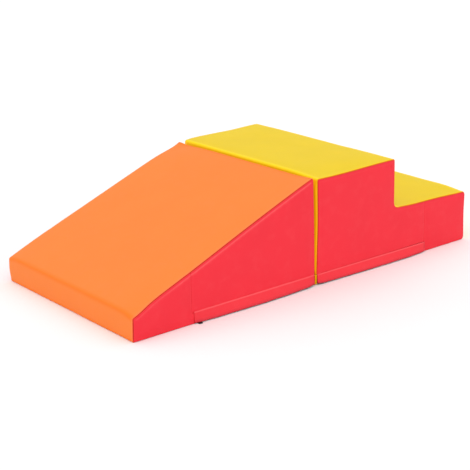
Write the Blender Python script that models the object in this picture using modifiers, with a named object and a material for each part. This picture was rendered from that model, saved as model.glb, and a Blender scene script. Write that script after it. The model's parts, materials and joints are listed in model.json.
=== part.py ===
"""Soft play foam climber, in metres with +Z up: a slide ramp and a step block that stand end to end.

Each module is a foam core in a sewn cover. Its side panels stop above a recess along the floor, where a zip
runs round three sides behind a hanging flap. Both modules are laid out alike: u is the distance from the joint
face, away from the other module, y runs from front to rear, and depth is the distance inwards from the cover's
outside.
"""

import math
from collections import namedtuple

import bmesh
import bpy
from mathutils import Vector

# Overall sizes
MODULE_LENGTH = 0.610
WIDTH = 0.610
HEIGHT = 0.307
NOSE_HEIGHT = 0.074
DECK_LENGTH = 0.305
STEP_HEIGHT = 0.1565
JOINT_GAP = 0.004
JOINT_LEAN = 0.005

# Roundings of the long edges between band and side panels, and of the profile
ARRIS_RADIUS = 0.0045
ARRIS_GAP = 0.0006
RAMP_SHARP_SHARE = 1.1
NOSE_RADIUS = 0.0065
BLOCK_RIDGE_RADIUS = 0.0065
BLOCK_FOOT_RADIUS = 0.012
DECK_RADIUS = 0.007
NOTCH_RADIUS = 0.018
STEP_RADIUS = 0.012

# Cover
COVER = 0.0012
BASE = 0.0015
CLEARANCE = 0.0003
SEAM_VALLEY = 0.0009
SEAM_ROLL = 0.003
TOP_CROWN = 0.0025
SIDE_CROWN = 0.0020
JOINT_CROWN = 0.0008
CROWN_REACH = 0.110
CROWN_ROWS = (0.030, 0.085)
BASE_CORNER = 0.006

# Side seams and flaps
RAMP_SEAM = 0.425
BLOCK_SEAM = 0.431
RAMP_TAB = 0.008
FLAP_TOP = 0.030
FLAP_HEM = 0.0025
FLAP_END_GAP = 0.0006
FLAP_CORNER_GAP = 0.0042
JOINT_FLAP_INSET = 0.0006
FLAP_STEPS = 12
FLARE_END = 0.0030
FLARE_MIDDLE = 0.0110
RAMP_FLARE_PEAK_SHARE = 0.45
BLOCK_FLARE_PEAK_SHARE = 0.76
FLARE_FULLNESS_SHARE = 0.65
FLAP_HANG_SHARE = 1.2

# Zip
ZIP_HEIGHT = 0.0135
ZIP_CORNER = 0.020
ZIP_END_GAP = 0.002
CHAIN_THICK = 0.0020
CHAIN_HALF = 0.0035
TOOTH_PITCH = 0.007
TOOTH_DEPTH = 0.0024
TOOTH_GAP = 0.00045
TAPE = 0.0006
TAPE_SPLIT = 0.0010
TAPE_BEND = 0.020

# Zip slider, its wire loop and its strap pull
SLIDER_LENGTH = 0.012
SLIDER_WALL = 0.0010
STOP_LENGTH = 0.003
SLIDER_PARK_GAP = 0.0006
BRIDGE_LENGTH = 0.009
BRIDGE_FOOT = 0.0014
BRIDGE_BAR = 0.0010
BRIDGE_WIDTH = 0.0020
BRIDGE_SINK = 0.0004
WIRE = 0.0005
LOOP_HEIGHT = 0.0046
LOOP_PLAY = 0.0006
PULL_THICK = 0.0014
PULL_PLAY = 0.0015
PULL_NECK = 0.004
PULL_WIDTH = 0.012
PULL_BEND = 0.0024
PULL_LIFT = 0.0005
PULL_REACH = 0.0115

# Hook and loop strips on the joint faces
STRIP_LENGTH = 0.160
STRIP_HEIGHT = 0.050
STRIP_LOW = 0.050
STRIP_END_INSET = 0.035
STRIP_EASE = 0.0003

# Curve steps
ARC_STEPS = 4
FOOT_STEPS = 6
FOOT_KEPT_STEPS = 5
ROUND_CORNER = math.radians(90)
HALF_CORNER = ROUND_CORNER / 2
THIRD_CORNER = ROUND_CORNER / 3
EASE_ANGLE = math.radians(60)
SHARP_ANGLE = math.radians(35)
FLAT_ANGLE = math.radians(1)
OVERRUN = 0.05
WELD = 1e-5
UNIT = 1.0

FRONT, REAR = -1, 1
RAMP_SIDE, BLOCK_SIDE = -1, 1

# Where the layers lie, from the cover's outside inwards
RAMP_SHARP_RADIUS = ARRIS_RADIUS * RAMP_SHARP_SHARE
ARRIS_FLAT = ARRIS_RADIUS * (1 - math.sin(THIRD_CORNER))
ARRIS_FLAT_DROP = ARRIS_RADIUS * (1 - math.cos(THIRD_CORNER))
ARRIS_INSET = (ARRIS_FLAT + ARRIS_FLAT_DROP) / 2 + ARRIS_GAP / 2 * math.cos(HALF_CORNER)
FOAM_INSET = SEAM_VALLEY + COVER + 2 * CLEARANCE
STRAP_DEPTH = SEAM_VALLEY + COVER + PULL_PLAY
LOOP_FRONT_DEPTH = STRAP_DEPTH + PULL_THICK / 2
BRIDGE_DEPTH = LOOP_FRONT_DEPTH + WIRE + LOOP_PLAY
PIN_DEPTH = BRIDGE_DEPTH + BRIDGE_BAR + CLEARANCE + WIRE
PLATE_DEPTH = PIN_DEPTH + WIRE + CLEARANCE
CHAIN_DEPTH = PLATE_DEPTH + SLIDER_WALL + CLEARANCE
TAPE_DEPTH = CHAIN_DEPTH + CHAIN_THICK + CLEARANCE
BASE_DEPTH = TAPE_DEPTH + TAPE + CLEARANCE
RECESS_DEPTH = BASE_DEPTH + CLEARANCE
RECESS_TOP = FLAP_TOP + CLEARANCE
FOOT_ANGLE = ROUND_CORNER * FOOT_KEPT_STEPS / FOOT_STEPS
BASE_SIDE_INSET = BASE + 2 * CLEARANCE
FOAM_BOTTOM = BASE + CLEARANCE

Module = namedtuple("Module", "name side profile seam tab flare_peak pull_side empty")
Station = namedtuple("Station", "at out fold crown seam")

for old in list(bpy.data.objects):
    bpy.data.objects.remove(old, do_unlink=True)

scene = bpy.context.scene
parts = bpy.data.collections.new("soft_play_foam_climber")
helpers = bpy.data.collections.new("cutters")
scene.collection.children.link(parts)
scene.collection.children.link(helpers)


# Colours, read from the photograph as screen values
def linear(red, green, blue):
    """A screen colour of 0 to 255 as the linear colour that a shader takes."""
    shares = [value / 255 for value in (red, green, blue)]
    return tuple(share / 12.92 if share <= 0.04045 else ((share + 0.055) / 1.055) ** 2.4 for share in shares)


ORANGE = linear(255, 140, 68)
RED = linear(246, 62, 74)
YELLOW = linear(245, 214, 72)
CHARCOAL = linear(52, 52, 56)
BLACK = linear(22, 20, 22)
CREAM = linear(236, 232, 220)
STEEL = linear(150, 152, 156)

VINYL_ROUGHNESS = 0.45
CLOTH_ROUGHNESS = 0.85
METAL_ROUGHNESS = 0.30
PLASTIC_ROUGHNESS = 0.50


def finish(obj, colour, roughness, metallic=0.0):
    """Gives an object its own material."""
    material = bpy.data.materials.new(obj.name)
    material.use_nodes = True
    shader = material.node_tree.nodes["Principled BSDF"]
    shader.inputs["Base Color"].default_value = (*colour, 1)
    shader.inputs["Roughness"].default_value = roughness
    shader.inputs["Metallic"].default_value = metallic
    obj.data.materials.clear()
    obj.data.materials.append(material)


# Objects, modifiers and helpers
def add_part(name, mesh, parent, location=(0, 0, 0)):
    """A named part in its module's frame."""
    obj = bpy.data.objects.new(name, mesh)
    parts.objects.link(obj)
    obj.parent = parent
    obj.location = location
    return obj


def add_helper(name, mesh, parent, location=(0, 0, 0)):
    """A shape that only cuts or joins a part."""
    obj = bpy.data.objects.new(name, mesh)
    helpers.objects.link(obj)
    obj.parent = parent
    obj.location = location
    obj.hide_render = True
    obj.display_type = "WIRE"
    return obj


def combine(obj, helper, operation):
    """A Boolean of a part with a helper."""
    modifier = obj.modifiers.new(helper.name, "BOOLEAN")
    modifier.operation = operation
    modifier.object = helper


def thicken(obj, thickness):
    """Gives an open sheet its thickness, inwards from its outside face."""
    modifier = obj.modifiers.new("thickness", "SOLIDIFY")
    modifier.thickness = thickness
    modifier.offset = -1
    modifier.use_even_offset = True


def ease(obj, width, segments=1):
    """Bevels the sharp edges of a solid."""
    modifier = obj.modifiers.new("ease", "BEVEL")
    modifier.width = width
    modifier.segments = segments
    modifier.limit_method = "ANGLE"
    modifier.angle_limit = EASE_ANGLE


def smooth(mesh):
    """Smooth shading that keeps true corners sharp."""
    mesh.shade_smooth()
    mesh.set_sharp_from_angle(angle=SHARP_ANGLE)


def to_mesh(name, bm):
    mesh = bpy.data.meshes.new(name)
    bm.to_mesh(mesh)
    bm.free()
    smooth(mesh)
    return mesh


def face_out(bm, inside):
    """Turns an open sheet so that its faces point away from a point inside the module."""
    bm.normal_update()
    lean = sum(face.calc_area() * face.normal.dot(face.calc_center_median() - inside) for face in bm.faces)
    if lean < 0:
        bmesh.ops.reverse_faces(bm, faces=bm.faces[:])


def close_out(bm):
    """Turns a closed solid so that its faces point outwards."""
    bmesh.ops.recalc_face_normals(bm, faces=bm.faces[:])
    if bm.calc_volume(signed=True) < 0:
        bmesh.ops.reverse_faces(bm, faces=bm.faces[:])


def mapped_sheet(columns, rows, place):
    """An open grid of columns by rows points, each put where place says."""
    bm = bmesh.new()
    bmesh.ops.create_grid(bm, x_segments=columns - 1, y_segments=rows - 1, size=UNIT / 2)
    for vertex in bm.verts:
        column = round((vertex.co.x + UNIT / 2) * (columns - 1))
        row = round((vertex.co.y + UNIT / 2) * (rows - 1))
        vertex.co = place(column, row)
    return bm


def outline_mesh(name, outline, half_depth, place):
    """A flat outline, filled or extruded both ways by half its depth, with each point put where place says."""
    curve = bpy.data.curves.new(name, "CURVE")
    curve.dimensions = "2D"
    curve.fill_mode = "BOTH"
    curve.extrude = half_depth
    spline = curve.splines.new("POLY")
    spline.points.add(len(outline) - 1)
    for point, (first, second) in zip(spline.points, outline):
        point.co = (first, second, 0, 1)
    spline.use_cyclic_u = True
    source = bpy.data.objects.new(name, curve)
    helpers.objects.link(source)
    mesh = bpy.data.meshes.new_from_object(source.evaluated_get(bpy.context.evaluated_depsgraph_get()))
    bpy.data.objects.remove(source)
    bpy.data.curves.remove(curve)
    bm = bmesh.new()
    bm.from_mesh(mesh)
    bpy.data.meshes.remove(mesh)
    bmesh.ops.remove_doubles(bm, verts=bm.verts[:], dist=WELD)
    bmesh.ops.dissolve_limit(bm, angle_limit=FLAT_ANGLE, verts=bm.verts[:], edges=bm.edges[:])
    for vertex in bm.verts:
        vertex.co = place(*vertex.co)
    return bm


def prism(name, outline, low, high, place):
    """A closed solid: an outline in two directions, extruded from low to high along the third."""
    middle, half = (low + high) / 2, (high - low) / 2
    bm = outline_mesh(name, outline, half, lambda a, b, c: place(a, b, c + middle))
    close_out(bm)
    return to_mesh(name, bm)


def box(name, low, high):
    """A box between two corners."""
    bm = bmesh.new()
    bmesh.ops.create_cube(bm, size=UNIT)
    low, high = Vector(low), Vector(high)
    for vertex in bm.verts:
        share = vertex.co + Vector((UNIT, UNIT, UNIT)) / 2
        vertex.co = low + Vector(size * part for size, part in zip(high - low, share))
    return to_mesh(name, bm)


# Paths and outlines with rounded corners
def left_of(direction):
    return Vector((-direction.y, direction.x))


def turned(vector, angle):
    cosine, sine = math.cos(angle), math.sin(angle)
    return Vector((vector.x * cosine - vector.y * sine, vector.x * sine + vector.y * cosine))


def corner_arc(before, corner, after, radius, steps):
    """The points and outward normals of the arc at a corner, with the outside on the left of the path."""
    arriving = (corner - before).normalized()
    leaving = (after - corner).normalized()
    angle = math.acos(max(-1, min(1, arriving.dot(leaving))))
    convex = 1 if arriving.x * leaving.y - arriving.y * leaving.x < 0 else -1
    start = corner - arriving * radius * math.tan(angle / 2)
    normal = left_of(arriving)
    centre = start - normal * radius * convex
    normals = [turned(normal, -convex * angle * step / steps) for step in range(steps + 1)]
    return [(centre + out * radius * convex, out) for out in normals]


def run_rows(length, rows):
    """Distances along a straight run, close together near both its ends."""
    near = [row for row in rows if row < length / 2]
    middle = [length / 2] if near else []
    return near + middle + [length - row for row in reversed(near)]


def stations_along(corners, rows=(), crowns=None, steps=ARC_STEPS, last_steps=None):
    """Stations of an open path through corners of (first, second, radius), and where each arc starts."""
    points = [Vector(corner[:2]) for corner in corners]
    stations, arcs = [], []
    start = points[0]
    for index in range(1, len(points)):
        last = index == len(points) - 1
        count = last_steps if last_steps and index == len(points) - 2 else steps
        arc = [] if last else corner_arc(*points[index - 1 : index + 2], corners[index][2], count)
        end = points[index] if last else arc[0][0]
        run = end - start
        out = left_of(run.normalized())
        crown = crowns[index - 1] if crowns else 0
        if not stations:
            stations.append(Station(start, out, 0, crown, OVERRUN))
        for row in run_rows(run.length, rows):
            fold = min(row, run.length - row)
            stations.append(Station(start + run.normalized() * row, out, fold, crown, OVERRUN))
        if last:
            stations.append(Station(end, out, 0, crown, OVERRUN))
            break
        arcs.append(len(stations))
        stations += [Station(at, normal, 0, 0, OVERRUN) for at, normal in arc]
        start = arc[-1][0]
    return stations, arcs


def with_roll(stations):
    """The stations, with one more where the seam at their start has risen out of its valley."""
    first, second = stations[:2]
    run = (second.at - first.at).length
    if run < 2 * SEAM_ROLL:
        return stations
    share = SEAM_ROLL / run
    fold = first.fold + (second.fold - first.fold) * share
    return [first, first._replace(at=first.at.lerp(second.at, share), fold=fold), *stations[1:]]


def cut_path(stations, first, last, seams=(True, True)):
    """The stations from first to last, drawn back by half a clearance and sunk into a valley at sewn ends."""
    kept = list(stations[first : last + 1])
    if seams[0]:
        kept = with_roll(kept)
    if seams[1]:
        kept = with_roll(kept[::-1])[::-1]
    travel = [0.0]
    for before, after in zip(kept, kept[1:]):
        travel.append(travel[-1] + (after.at - before.at).length)
    for index, station in enumerate(kept):
        reach = [travel[index]] * seams[0] + [travel[-1] - travel[index]] * seams[1]
        kept[index] = station._replace(seam=min(reach, default=OVERRUN))
    back = CLEARANCE / 2
    if seams[0]:
        kept[0] = kept[0]._replace(at=kept[0].at + (kept[1].at - kept[0].at).normalized() * back)
    if seams[1]:
        kept[-1] = kept[-1]._replace(at=kept[-1].at - (kept[-1].at - kept[-2].at).normalized() * back)
    return kept


def crossing(point, direction, other, other_direction):
    """Where two lines meet."""
    across = direction.x * other_direction.y - direction.y * other_direction.x
    gap = other - point
    return point + direction * ((gap.x * other_direction.y - gap.y * other_direction.x) / across)


def inset_corners(corners, insets):
    """Corners of a closed outline with each side moved inwards; side i runs from corner i to the next."""
    points = [Vector(corner[:2]) for corner in corners]
    count = len(points)
    sides = [(points[(i + 1) % count] - points[i]).normalized() for i in range(count)]
    moved = [points[i] - left_of(sides[i]) * insets[i] for i in range(count)]
    result = []
    for i in range(count):
        place = crossing(moved[i - 1], sides[i - 1], moved[i], sides[i])
        turn = sides[i - 1].x * sides[i].y - sides[i - 1].y * sides[i].x
        change = (insets[i - 1] + insets[i]) / 2 * (-1 if turn < 0 else 1)
        radius = max(corners[i][2] + change, 0) if corners[i][2] else 0
        result.append((place.x, place.y, radius))
    return result


def rounded_outline(corners):
    """Points of a closed outline, and for each the side that starts there, or None on an arc."""
    points = [Vector(corner[:2]) for corner in corners]
    outline, sides = [], []
    for i, corner in enumerate(corners):
        after = points[(i + 1) % len(points)]
        if corner[2]:
            arc = [at for at, _ in corner_arc(points[i - 1], points[i], after, corner[2], ARC_STEPS)]
        else:
            arc = [points[i]]
        outline += [tuple(at) for at in arc]
        sides += [None] * (len(arc) - 1) + [i]
    return outline, sides


# How the cover swells and draws in
def swell(reach):
    """0 at an edge, rising to 1 where the panel stands proudest."""
    return 1 - (1 - min(reach / CROWN_REACH, 1)) ** 2


def arris_drop(reach):
    """How deep the cover lies at a distance from the sharp corner that its rounded edge replaces."""
    if reach < ARRIS_FLAT:
        return ARRIS_FLAT_DROP + ARRIS_FLAT - reach
    return ARRIS_FLAT_DROP * max(ARRIS_RADIUS - reach, 0) / (ARRIS_RADIUS - ARRIS_FLAT)


def valley(reach):
    """How deep a seam draws the cover in, by distance from the seam."""
    return SEAM_VALLEY * max(1 - reach / SEAM_ROLL, 0) ** 2


ARRIS_ROWS = (ARRIS_INSET, ARRIS_FLAT, ARRIS_RADIUS)


def distance_to(point, start, end):
    along = end - start
    share = max(0, min(1, (point - start).dot(along) / along.length_squared))
    return (point - start - along * share).length


# Cover bands, which run along the profile from side to side
def band(module, name, stations, colour):
    rows = list(ARRIS_ROWS + CROWN_ROWS)
    reaches = rows + [WIDTH / 2] + rows[::-1]
    middle = len(rows)

    def place(column, row):
        station, reach = stations[column], reaches[row]
        rise = station.crown * swell(reach) * swell(station.fold)
        at = station.at + station.out * (rise - max(arris_drop(reach), valley(station.seam)))
        y = reach - WIDTH / 2 if row <= middle else WIDTH / 2 - reach
        return Vector((module.side * at.x, y, at.y))

    bm = mapped_sheet(len(stations), len(reaches), place)
    face_out(bm, inside_of(module))
    obj = add_part(name, to_mesh(name, bm), module.empty)
    thicken(obj, COVER)
    finish(obj, colour, VINYL_ROUGHNESS)
    return obj


def inside_of(module):
    """A point well inside a module, under its low end's height."""
    return Vector((module.side * MODULE_LENGTH / 3, 0, NOSE_HEIGHT / 2))


def lean_at(z):
    return JOINT_LEAN * z / HEIGHT


def profile_stations(module, crowns):
    """Stations along a module's profile, from the flap seam on the joint face round to the low end's foot."""
    start = (lean_at(FLAP_TOP), FLAP_TOP, 0)
    corners = [start, *module.profile[1:], (0, 0, 0)]
    return stations_along(corners, CROWN_ROWS, crowns, last_steps=FOOT_STEPS)


# Side panels, which fill the profile
def side_panel(module, name, side, corners, sewn, colour):
    """A side panel; sewn names the sides of its outline that are flat seams, and the rest are rounded edges."""
    insets = [CLEARANCE / 2 if i in sewn else ARRIS_INSET for i in range(len(corners))]
    moved = inset_corners(corners, insets)
    outline, sides = rounded_outline(moved)
    bm = outline_mesh(name, outline, 0, lambda a, b, c: Vector((a, b, 0)))
    inner = bm.faces[:]
    for before, after in zip(ARRIS_ROWS, ARRIS_ROWS[1:]):
        ring = {"thickness": after - before, "use_boundary": True, "use_even_offset": True}
        bmesh.ops.inset_region(bm, faces=inner, **ring)
    points = [Vector(corner[:2]) for corner in moved]
    spans = [max(p[axis] for p in points) - min(p[axis] for p in points) for axis in (0, 1)]
    for i, point in enumerate(points):
        out = left_of((points[(i + 1) % len(points)] - point).normalized())
        near = [SEAM_ROLL] if i in sewn else []
        for row in near + [row for row in CROWN_ROWS if row < min(spans) / 2]:
            at = point - out * row
            geometry = bm.verts[:] + bm.edges[:] + bm.faces[:]
            bmesh.ops.bisect_plane(bm, geom=geometry, plane_co=(*at, 0), plane_no=(*out, 0), dist=WELD)
    ends = [Vector(point) for point in outline]
    edges = [(ends[i], ends[(i + 1) % len(ends)], sides[i] in sewn) for i in range(len(ends))]
    for vertex in bm.verts:
        flat = Vector(vertex.co[:2])
        reach = {True: OVERRUN, False: OVERRUN}
        for start, end, flat_seam in edges:
            reach[flat_seam] = min(reach[flat_seam], distance_to(flat, start, end))
        depth = max(valley(reach[True]), arris_drop(ARRIS_INSET + reach[False]))
        nearest = min(distance_to(flat, start, end) for start, end, _ in edges)
        depth -= SIDE_CROWN * swell(nearest)
        vertex.co = (module.side * flat.x, side * (WIDTH / 2 - depth), flat.y)
    face_out(bm, inside_of(module))
    obj = add_part(name, to_mesh(name, bm), module.empty)
    thicken(obj, COVER)
    finish(obj, colour, VINYL_ROUGHNESS)
    return obj


def top_at(module, u):
    """The corner before u on the profile's top, and the height there."""
    for i in range(1, len(module.profile) - 1):
        (u0, z0, _), (u1, z1, _) = module.profile[i : i + 2]
        if u0 <= u < u1:
            return i, z0 + (z1 - z0) * (u - u0) / (u1 - u0)
    raise ValueError("the seam lies beyond the module")


def side_panels(module):
    before, top = top_at(module, module.seam)
    main = [
        (lean_at(FLAP_TOP), FLAP_TOP, 0),
        *module.profile[1 : before + 1],
        (module.seam, top, 0),
        (module.seam, FLAP_TOP, 0),
    ]
    step = [(tab_end(module), FLAP_TOP, 0), (module.seam, FLAP_TOP, 0)] if module.tab else []
    low = [(tab_end(module), 0, 0), *step, (module.seam, top, 0), *module.profile[before + 1 :]]
    for side, where in ((FRONT, "front"), (REAR, "rear")):
        sewn = (len(main) - 2, len(main) - 1)
        side_panel(module, f"{module.name}_{where}_side_panel", side, main, sewn, RED)
        side_panel(module, f"{module.name}_{where}_end_panel", side, low, range(len(step) + 1), RED)


# Foam core and base panel
def tab_end(module):
    """Where the end panel's tab, which reaches in under the side panel, stops beside the flap."""
    return module.seam - module.tab


def zip_end(module):
    return tab_end(module) - ZIP_END_GAP


def foot_inset(module):
    """How far the base panel stays back from the low end, inside the cover's rounded foot."""
    radius = module.profile[-1][2]
    return radius * (1 - math.cos(FOOT_ANGLE)) + COVER * math.cos(FOOT_ANGLE) + CLEARANCE


def foam_core(module):
    count = len(module.profile)
    insets = [FOAM_INSET] * (count - 1) + [FOAM_BOTTOM]
    outline, _ = rounded_outline(inset_corners(module.profile, insets))
    name = f"{module.name}_foam_core"
    half = WIDTH / 2 - FOAM_INSET
    core = add_part(name, prism(name, outline, -half, half, lambda a, b, c: (module.side * a, c, b)), module.empty)
    end, edge = zip_end(module), WIDTH / 2
    corner = ZIP_CORNER - RECESS_DEPTH
    frame = [
        (-OVERRUN, -edge - OVERRUN, 0),
        (-OVERRUN, edge + OVERRUN, 0),
        (end, edge + OVERRUN, 0),
        (end, edge - RECESS_DEPTH, 0),
        (RECESS_DEPTH, edge - RECESS_DEPTH, corner),
        (RECESS_DEPTH, RECESS_DEPTH - edge, corner),
        (end, RECESS_DEPTH - edge, 0),
        (end, -edge - OVERRUN, 0),
    ]
    outline, _ = rounded_outline(frame)
    name = f"{module.name}_recess"
    mesh = prism(name, outline, -OVERRUN, RECESS_TOP, lambda a, b, c: (module.side * a, b, c))
    combine(core, add_helper(name, mesh, module.empty), "DIFFERENCE")
    finish(core, CREAM, CLOTH_ROUGHNESS)


def base_panel(module):
    """The panel that the module stands on: narrower where the zip runs beside it."""
    end, edge = zip_end(module), WIDTH / 2
    wide, narrow = edge - BASE_SIDE_INSET, edge - BASE_DEPTH
    far = MODULE_LENGTH - foot_inset(module)
    corners = [
        (BASE_DEPTH, -narrow, ZIP_CORNER - BASE_DEPTH),
        (BASE_DEPTH, narrow, ZIP_CORNER - BASE_DEPTH),
        (end, narrow, 0),
        (end, wide, 0),
        (far, wide, BASE_CORNER),
        (far, -wide, BASE_CORNER),
        (end, -wide, 0),
        (end, -narrow, 0),
    ]
    outline, _ = rounded_outline(corners)
    name = f"{module.name}_base_panel"
    mesh = prism(name, outline, 0, BASE, lambda a, b, c: (module.side * a, b, c))
    finish(add_part(name, mesh, module.empty), CHARCOAL, CLOTH_ROUGHNESS)


# Flaps
def flare_share(module, share):
    """How far the flap's hem stands out at a share of its length from the joint, from 0 at its ends to 1."""
    peak = module.flare_peak
    turn = share / peak / 2 if share < peak else (1 + (share - peak) / (1 - peak)) / 2
    return math.sin(math.pi * min(max(turn, 0), 1)) ** FLARE_FULLNESS_SHARE


def flap_rows():
    """Heights below the flap's top seam, from the seam to the hem."""
    drop = FLAP_TOP - CLEARANCE / 2 - FLAP_HEM
    return [0, SEAM_ROLL, (SEAM_ROLL + drop) / 2, drop]


def side_flap(module, side, where):
    start, end = FLAP_CORNER_GAP, tab_end(module) - FLAP_END_GAP
    rows = flap_rows()

    def place(column, row):
        share = column / FLAP_STEPS
        flare = FLARE_END + (FLARE_MIDDLE - FLARE_END) * flare_share(module, share)
        hang = (rows[row] / rows[-1]) ** FLAP_HANG_SHARE
        out = (SEAM_VALLEY - valley(rows[row])) * (1 - hang) + (SEAM_VALLEY + flare) * hang
        return Vector((module.side * (start + (end - start) * share), side * out, -rows[row]))

    bm = mapped_sheet(FLAP_STEPS + 1, len(rows), place)
    face_out(bm, Vector((0, -side * WIDTH / 2, 0)))
    name = f"{module.name}_{where}_flap"
    hinge = (0, side * (WIDTH / 2 - SEAM_VALLEY), FLAP_TOP - CLEARANCE / 2)
    obj = add_part(name, to_mesh(name, bm), module.empty, hinge)
    thicken(obj, COVER)
    finish(obj, RED, VINYL_ROUGHNESS)


def end_flap(module, colour):
    """The flap on the joint face, held flat between the modules and as wide as they are."""
    rows = flap_rows()
    half = WIDTH / 2 - JOINT_FLAP_INSET

    def place(column, row):
        z = FLAP_TOP - CLEARANCE / 2 - rows[row]
        return Vector((module.side * (lean_at(z) + valley(rows[row])), half * (2 * column - 1), z))

    bm = mapped_sheet(2, len(rows), place)
    face_out(bm, inside_of(module))
    name = f"{module.name}_joint_flap"
    obj = add_part(name, to_mesh(name, bm), module.empty)
    thicken(obj, COVER)
    finish(obj, colour, VINYL_ROUGHNESS)


# Zip
def zip_stations(module, depth):
    """Stations round the three zipped sides at a depth, from the front end of the zip to its rear end."""
    end, edge, corner = zip_end(module) - CLEARANCE, WIDTH / 2 - depth, ZIP_CORNER - depth
    corners = [(end, -edge, 0), (depth, -edge, corner), (depth, edge, corner), (end, edge, 0)]
    return stations_along(corners)


def zip_sheet(module, name, profile, thickness, first, last, colour, roughness):
    """A strip round the zipped sides whose section is a line of (depth, height) points."""
    depth = profile[0][0]
    stations = cut_path(zip_stations(module, depth)[0], first, last)

    def place(column, row):
        station = stations[column]
        at = station.at - station.out * (profile[row][0] - depth)
        return Vector((module.side * at.x, at.y, profile[row][1]))

    bm = mapped_sheet(len(stations), len(profile), place)
    face_out(bm, Vector((module.side * MODULE_LENGTH / 2, 0, ZIP_HEIGHT)))
    obj = add_part(name, to_mesh(name, bm), module.empty)
    thicken(obj, thickness)
    finish(obj, colour, roughness)


def zip_tapes(module):
    seam = lean_at(FLAP_TOP) + SEAM_VALLEY + COVER + CLEARANCE
    top = FLAP_TOP - TAPE - CLEARANCE
    upper = [(seam, top), (TAPE_DEPTH, TAPE_BEND), (TAPE_DEPTH, ZIP_HEIGHT + TAPE_SPLIT / 2)]
    lower = [(TAPE_DEPTH, ZIP_HEIGHT - TAPE_SPLIT / 2), (TAPE_DEPTH, TAPE)]
    last = len(zip_stations(module, TAPE_DEPTH)[0]) - 1
    for where, profile in (("upper", upper), ("lower", lower)):
        name = f"{module.name}_zip_{where}_tape"
        zip_sheet(module, name, profile, TAPE, 0, last, BLACK, CLOTH_ROUGHNESS)


def comb_outline(start, end, above):
    """Half of a closed zip chain from the front: a straight back and teeth that mesh with the other half."""
    side = 1 if above else -1
    tip = side * TOOTH_GAP / 2
    count = int((end - start) / TOOTH_PITCH)
    teeth = []
    for i in range(2 * count + 1):
        swing = TOOTH_DEPTH / 2 * (1 if i % 2 else -1)
        teeth.append((start + TOOTH_PITCH / 2 * i, ZIP_HEIGHT + tip + swing))
    back = ZIP_HEIGHT + side * CHAIN_HALF
    flat = ZIP_HEIGHT + tip - TOOTH_DEPTH / 2
    return [(start, back), *teeth, (end, flat), (end, back)]


def zip_chain(module):
    """Toothed chain halves along front and rear, and the closed chain round the joint face and its corners."""
    start = ZIP_CORNER + CLEARANCE
    end = zip_end(module) - STOP_LENGTH - 2 * CLEARANCE
    inner, outer = WIDTH / 2 - CHAIN_DEPTH - CHAIN_THICK, WIDTH / 2 - CHAIN_DEPTH
    for side, where in ((FRONT, "front"), (REAR, "rear")):
        for above, half in ((True, "upper"), (False, "lower")):
            name = f"{module.name}_zip_{where}_{half}_teeth"
            outline = comb_outline(start, end, above)
            mesh = prism(name, outline, inner, outer, lambda a, b, c: (module.side * a, side * c, b))
            finish(add_part(name, mesh, module.empty), BLACK, PLASTIC_ROUGHNESS)
    arcs = zip_stations(module, CHAIN_DEPTH)[1]
    for above, half in ((True, "upper"), (False, "lower")):
        side = 1 if above else -1
        profile = [(CHAIN_DEPTH, ZIP_HEIGHT + side * reach) for reach in (TOOTH_GAP / 2, CHAIN_HALF)]
        name = f"{module.name}_zip_joint_{half}_chain"
        first, last = arcs[0], arcs[1] + ARC_STEPS
        zip_sheet(module, name, profile, CHAIN_THICK, first, last, BLACK, PLASTIC_ROUGHNESS)


def shell_outline():
    """Section of slider and stop as (depth, height): a plate with a lip along each edge of the chain."""
    inner, outer = CHAIN_HALF + CLEARANCE, CHAIN_HALF + CLEARANCE + SLIDER_WALL
    plate, lip = PLATE_DEPTH, TAPE_DEPTH - CLEARANCE
    upper = [(plate, outer), (lip, outer), (lip, inner), (plate + SLIDER_WALL, inner)]
    return upper + [(depth, -height) for depth, height in reversed(upper)]


def zip_shell(name, length, centre, side):
    """A short length of shell in its own frame, with x along the chain."""
    low, high = centre - length / 2, centre + length / 2
    return prism(name, shell_outline(), low, high, lambda a, b, c: (c, side * (PIN_DEPTH - a), b))


def slider_place(module):
    """Where the slider stands along the zip: against the stop at its closed end."""
    return zip_end(module) - CLEARANCE - STOP_LENGTH - SLIDER_PARK_GAP - SLIDER_LENGTH / 2


def zip_stops(module):
    for side, where in ((FRONT, "front"), (REAR, "rear")):
        name = f"{module.name}_zip_{where}_stop"
        centre = module.side * (zip_end(module) - CLEARANCE - STOP_LENGTH / 2)
        place = (centre, side * (WIDTH / 2 - PIN_DEPTH), ZIP_HEIGHT)
        stop = add_part(name, zip_shell(name, STOP_LENGTH, 0, side), module.empty, place)
        finish(stop, STEEL, METAL_ROUGHNESS, 1.0)


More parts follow.
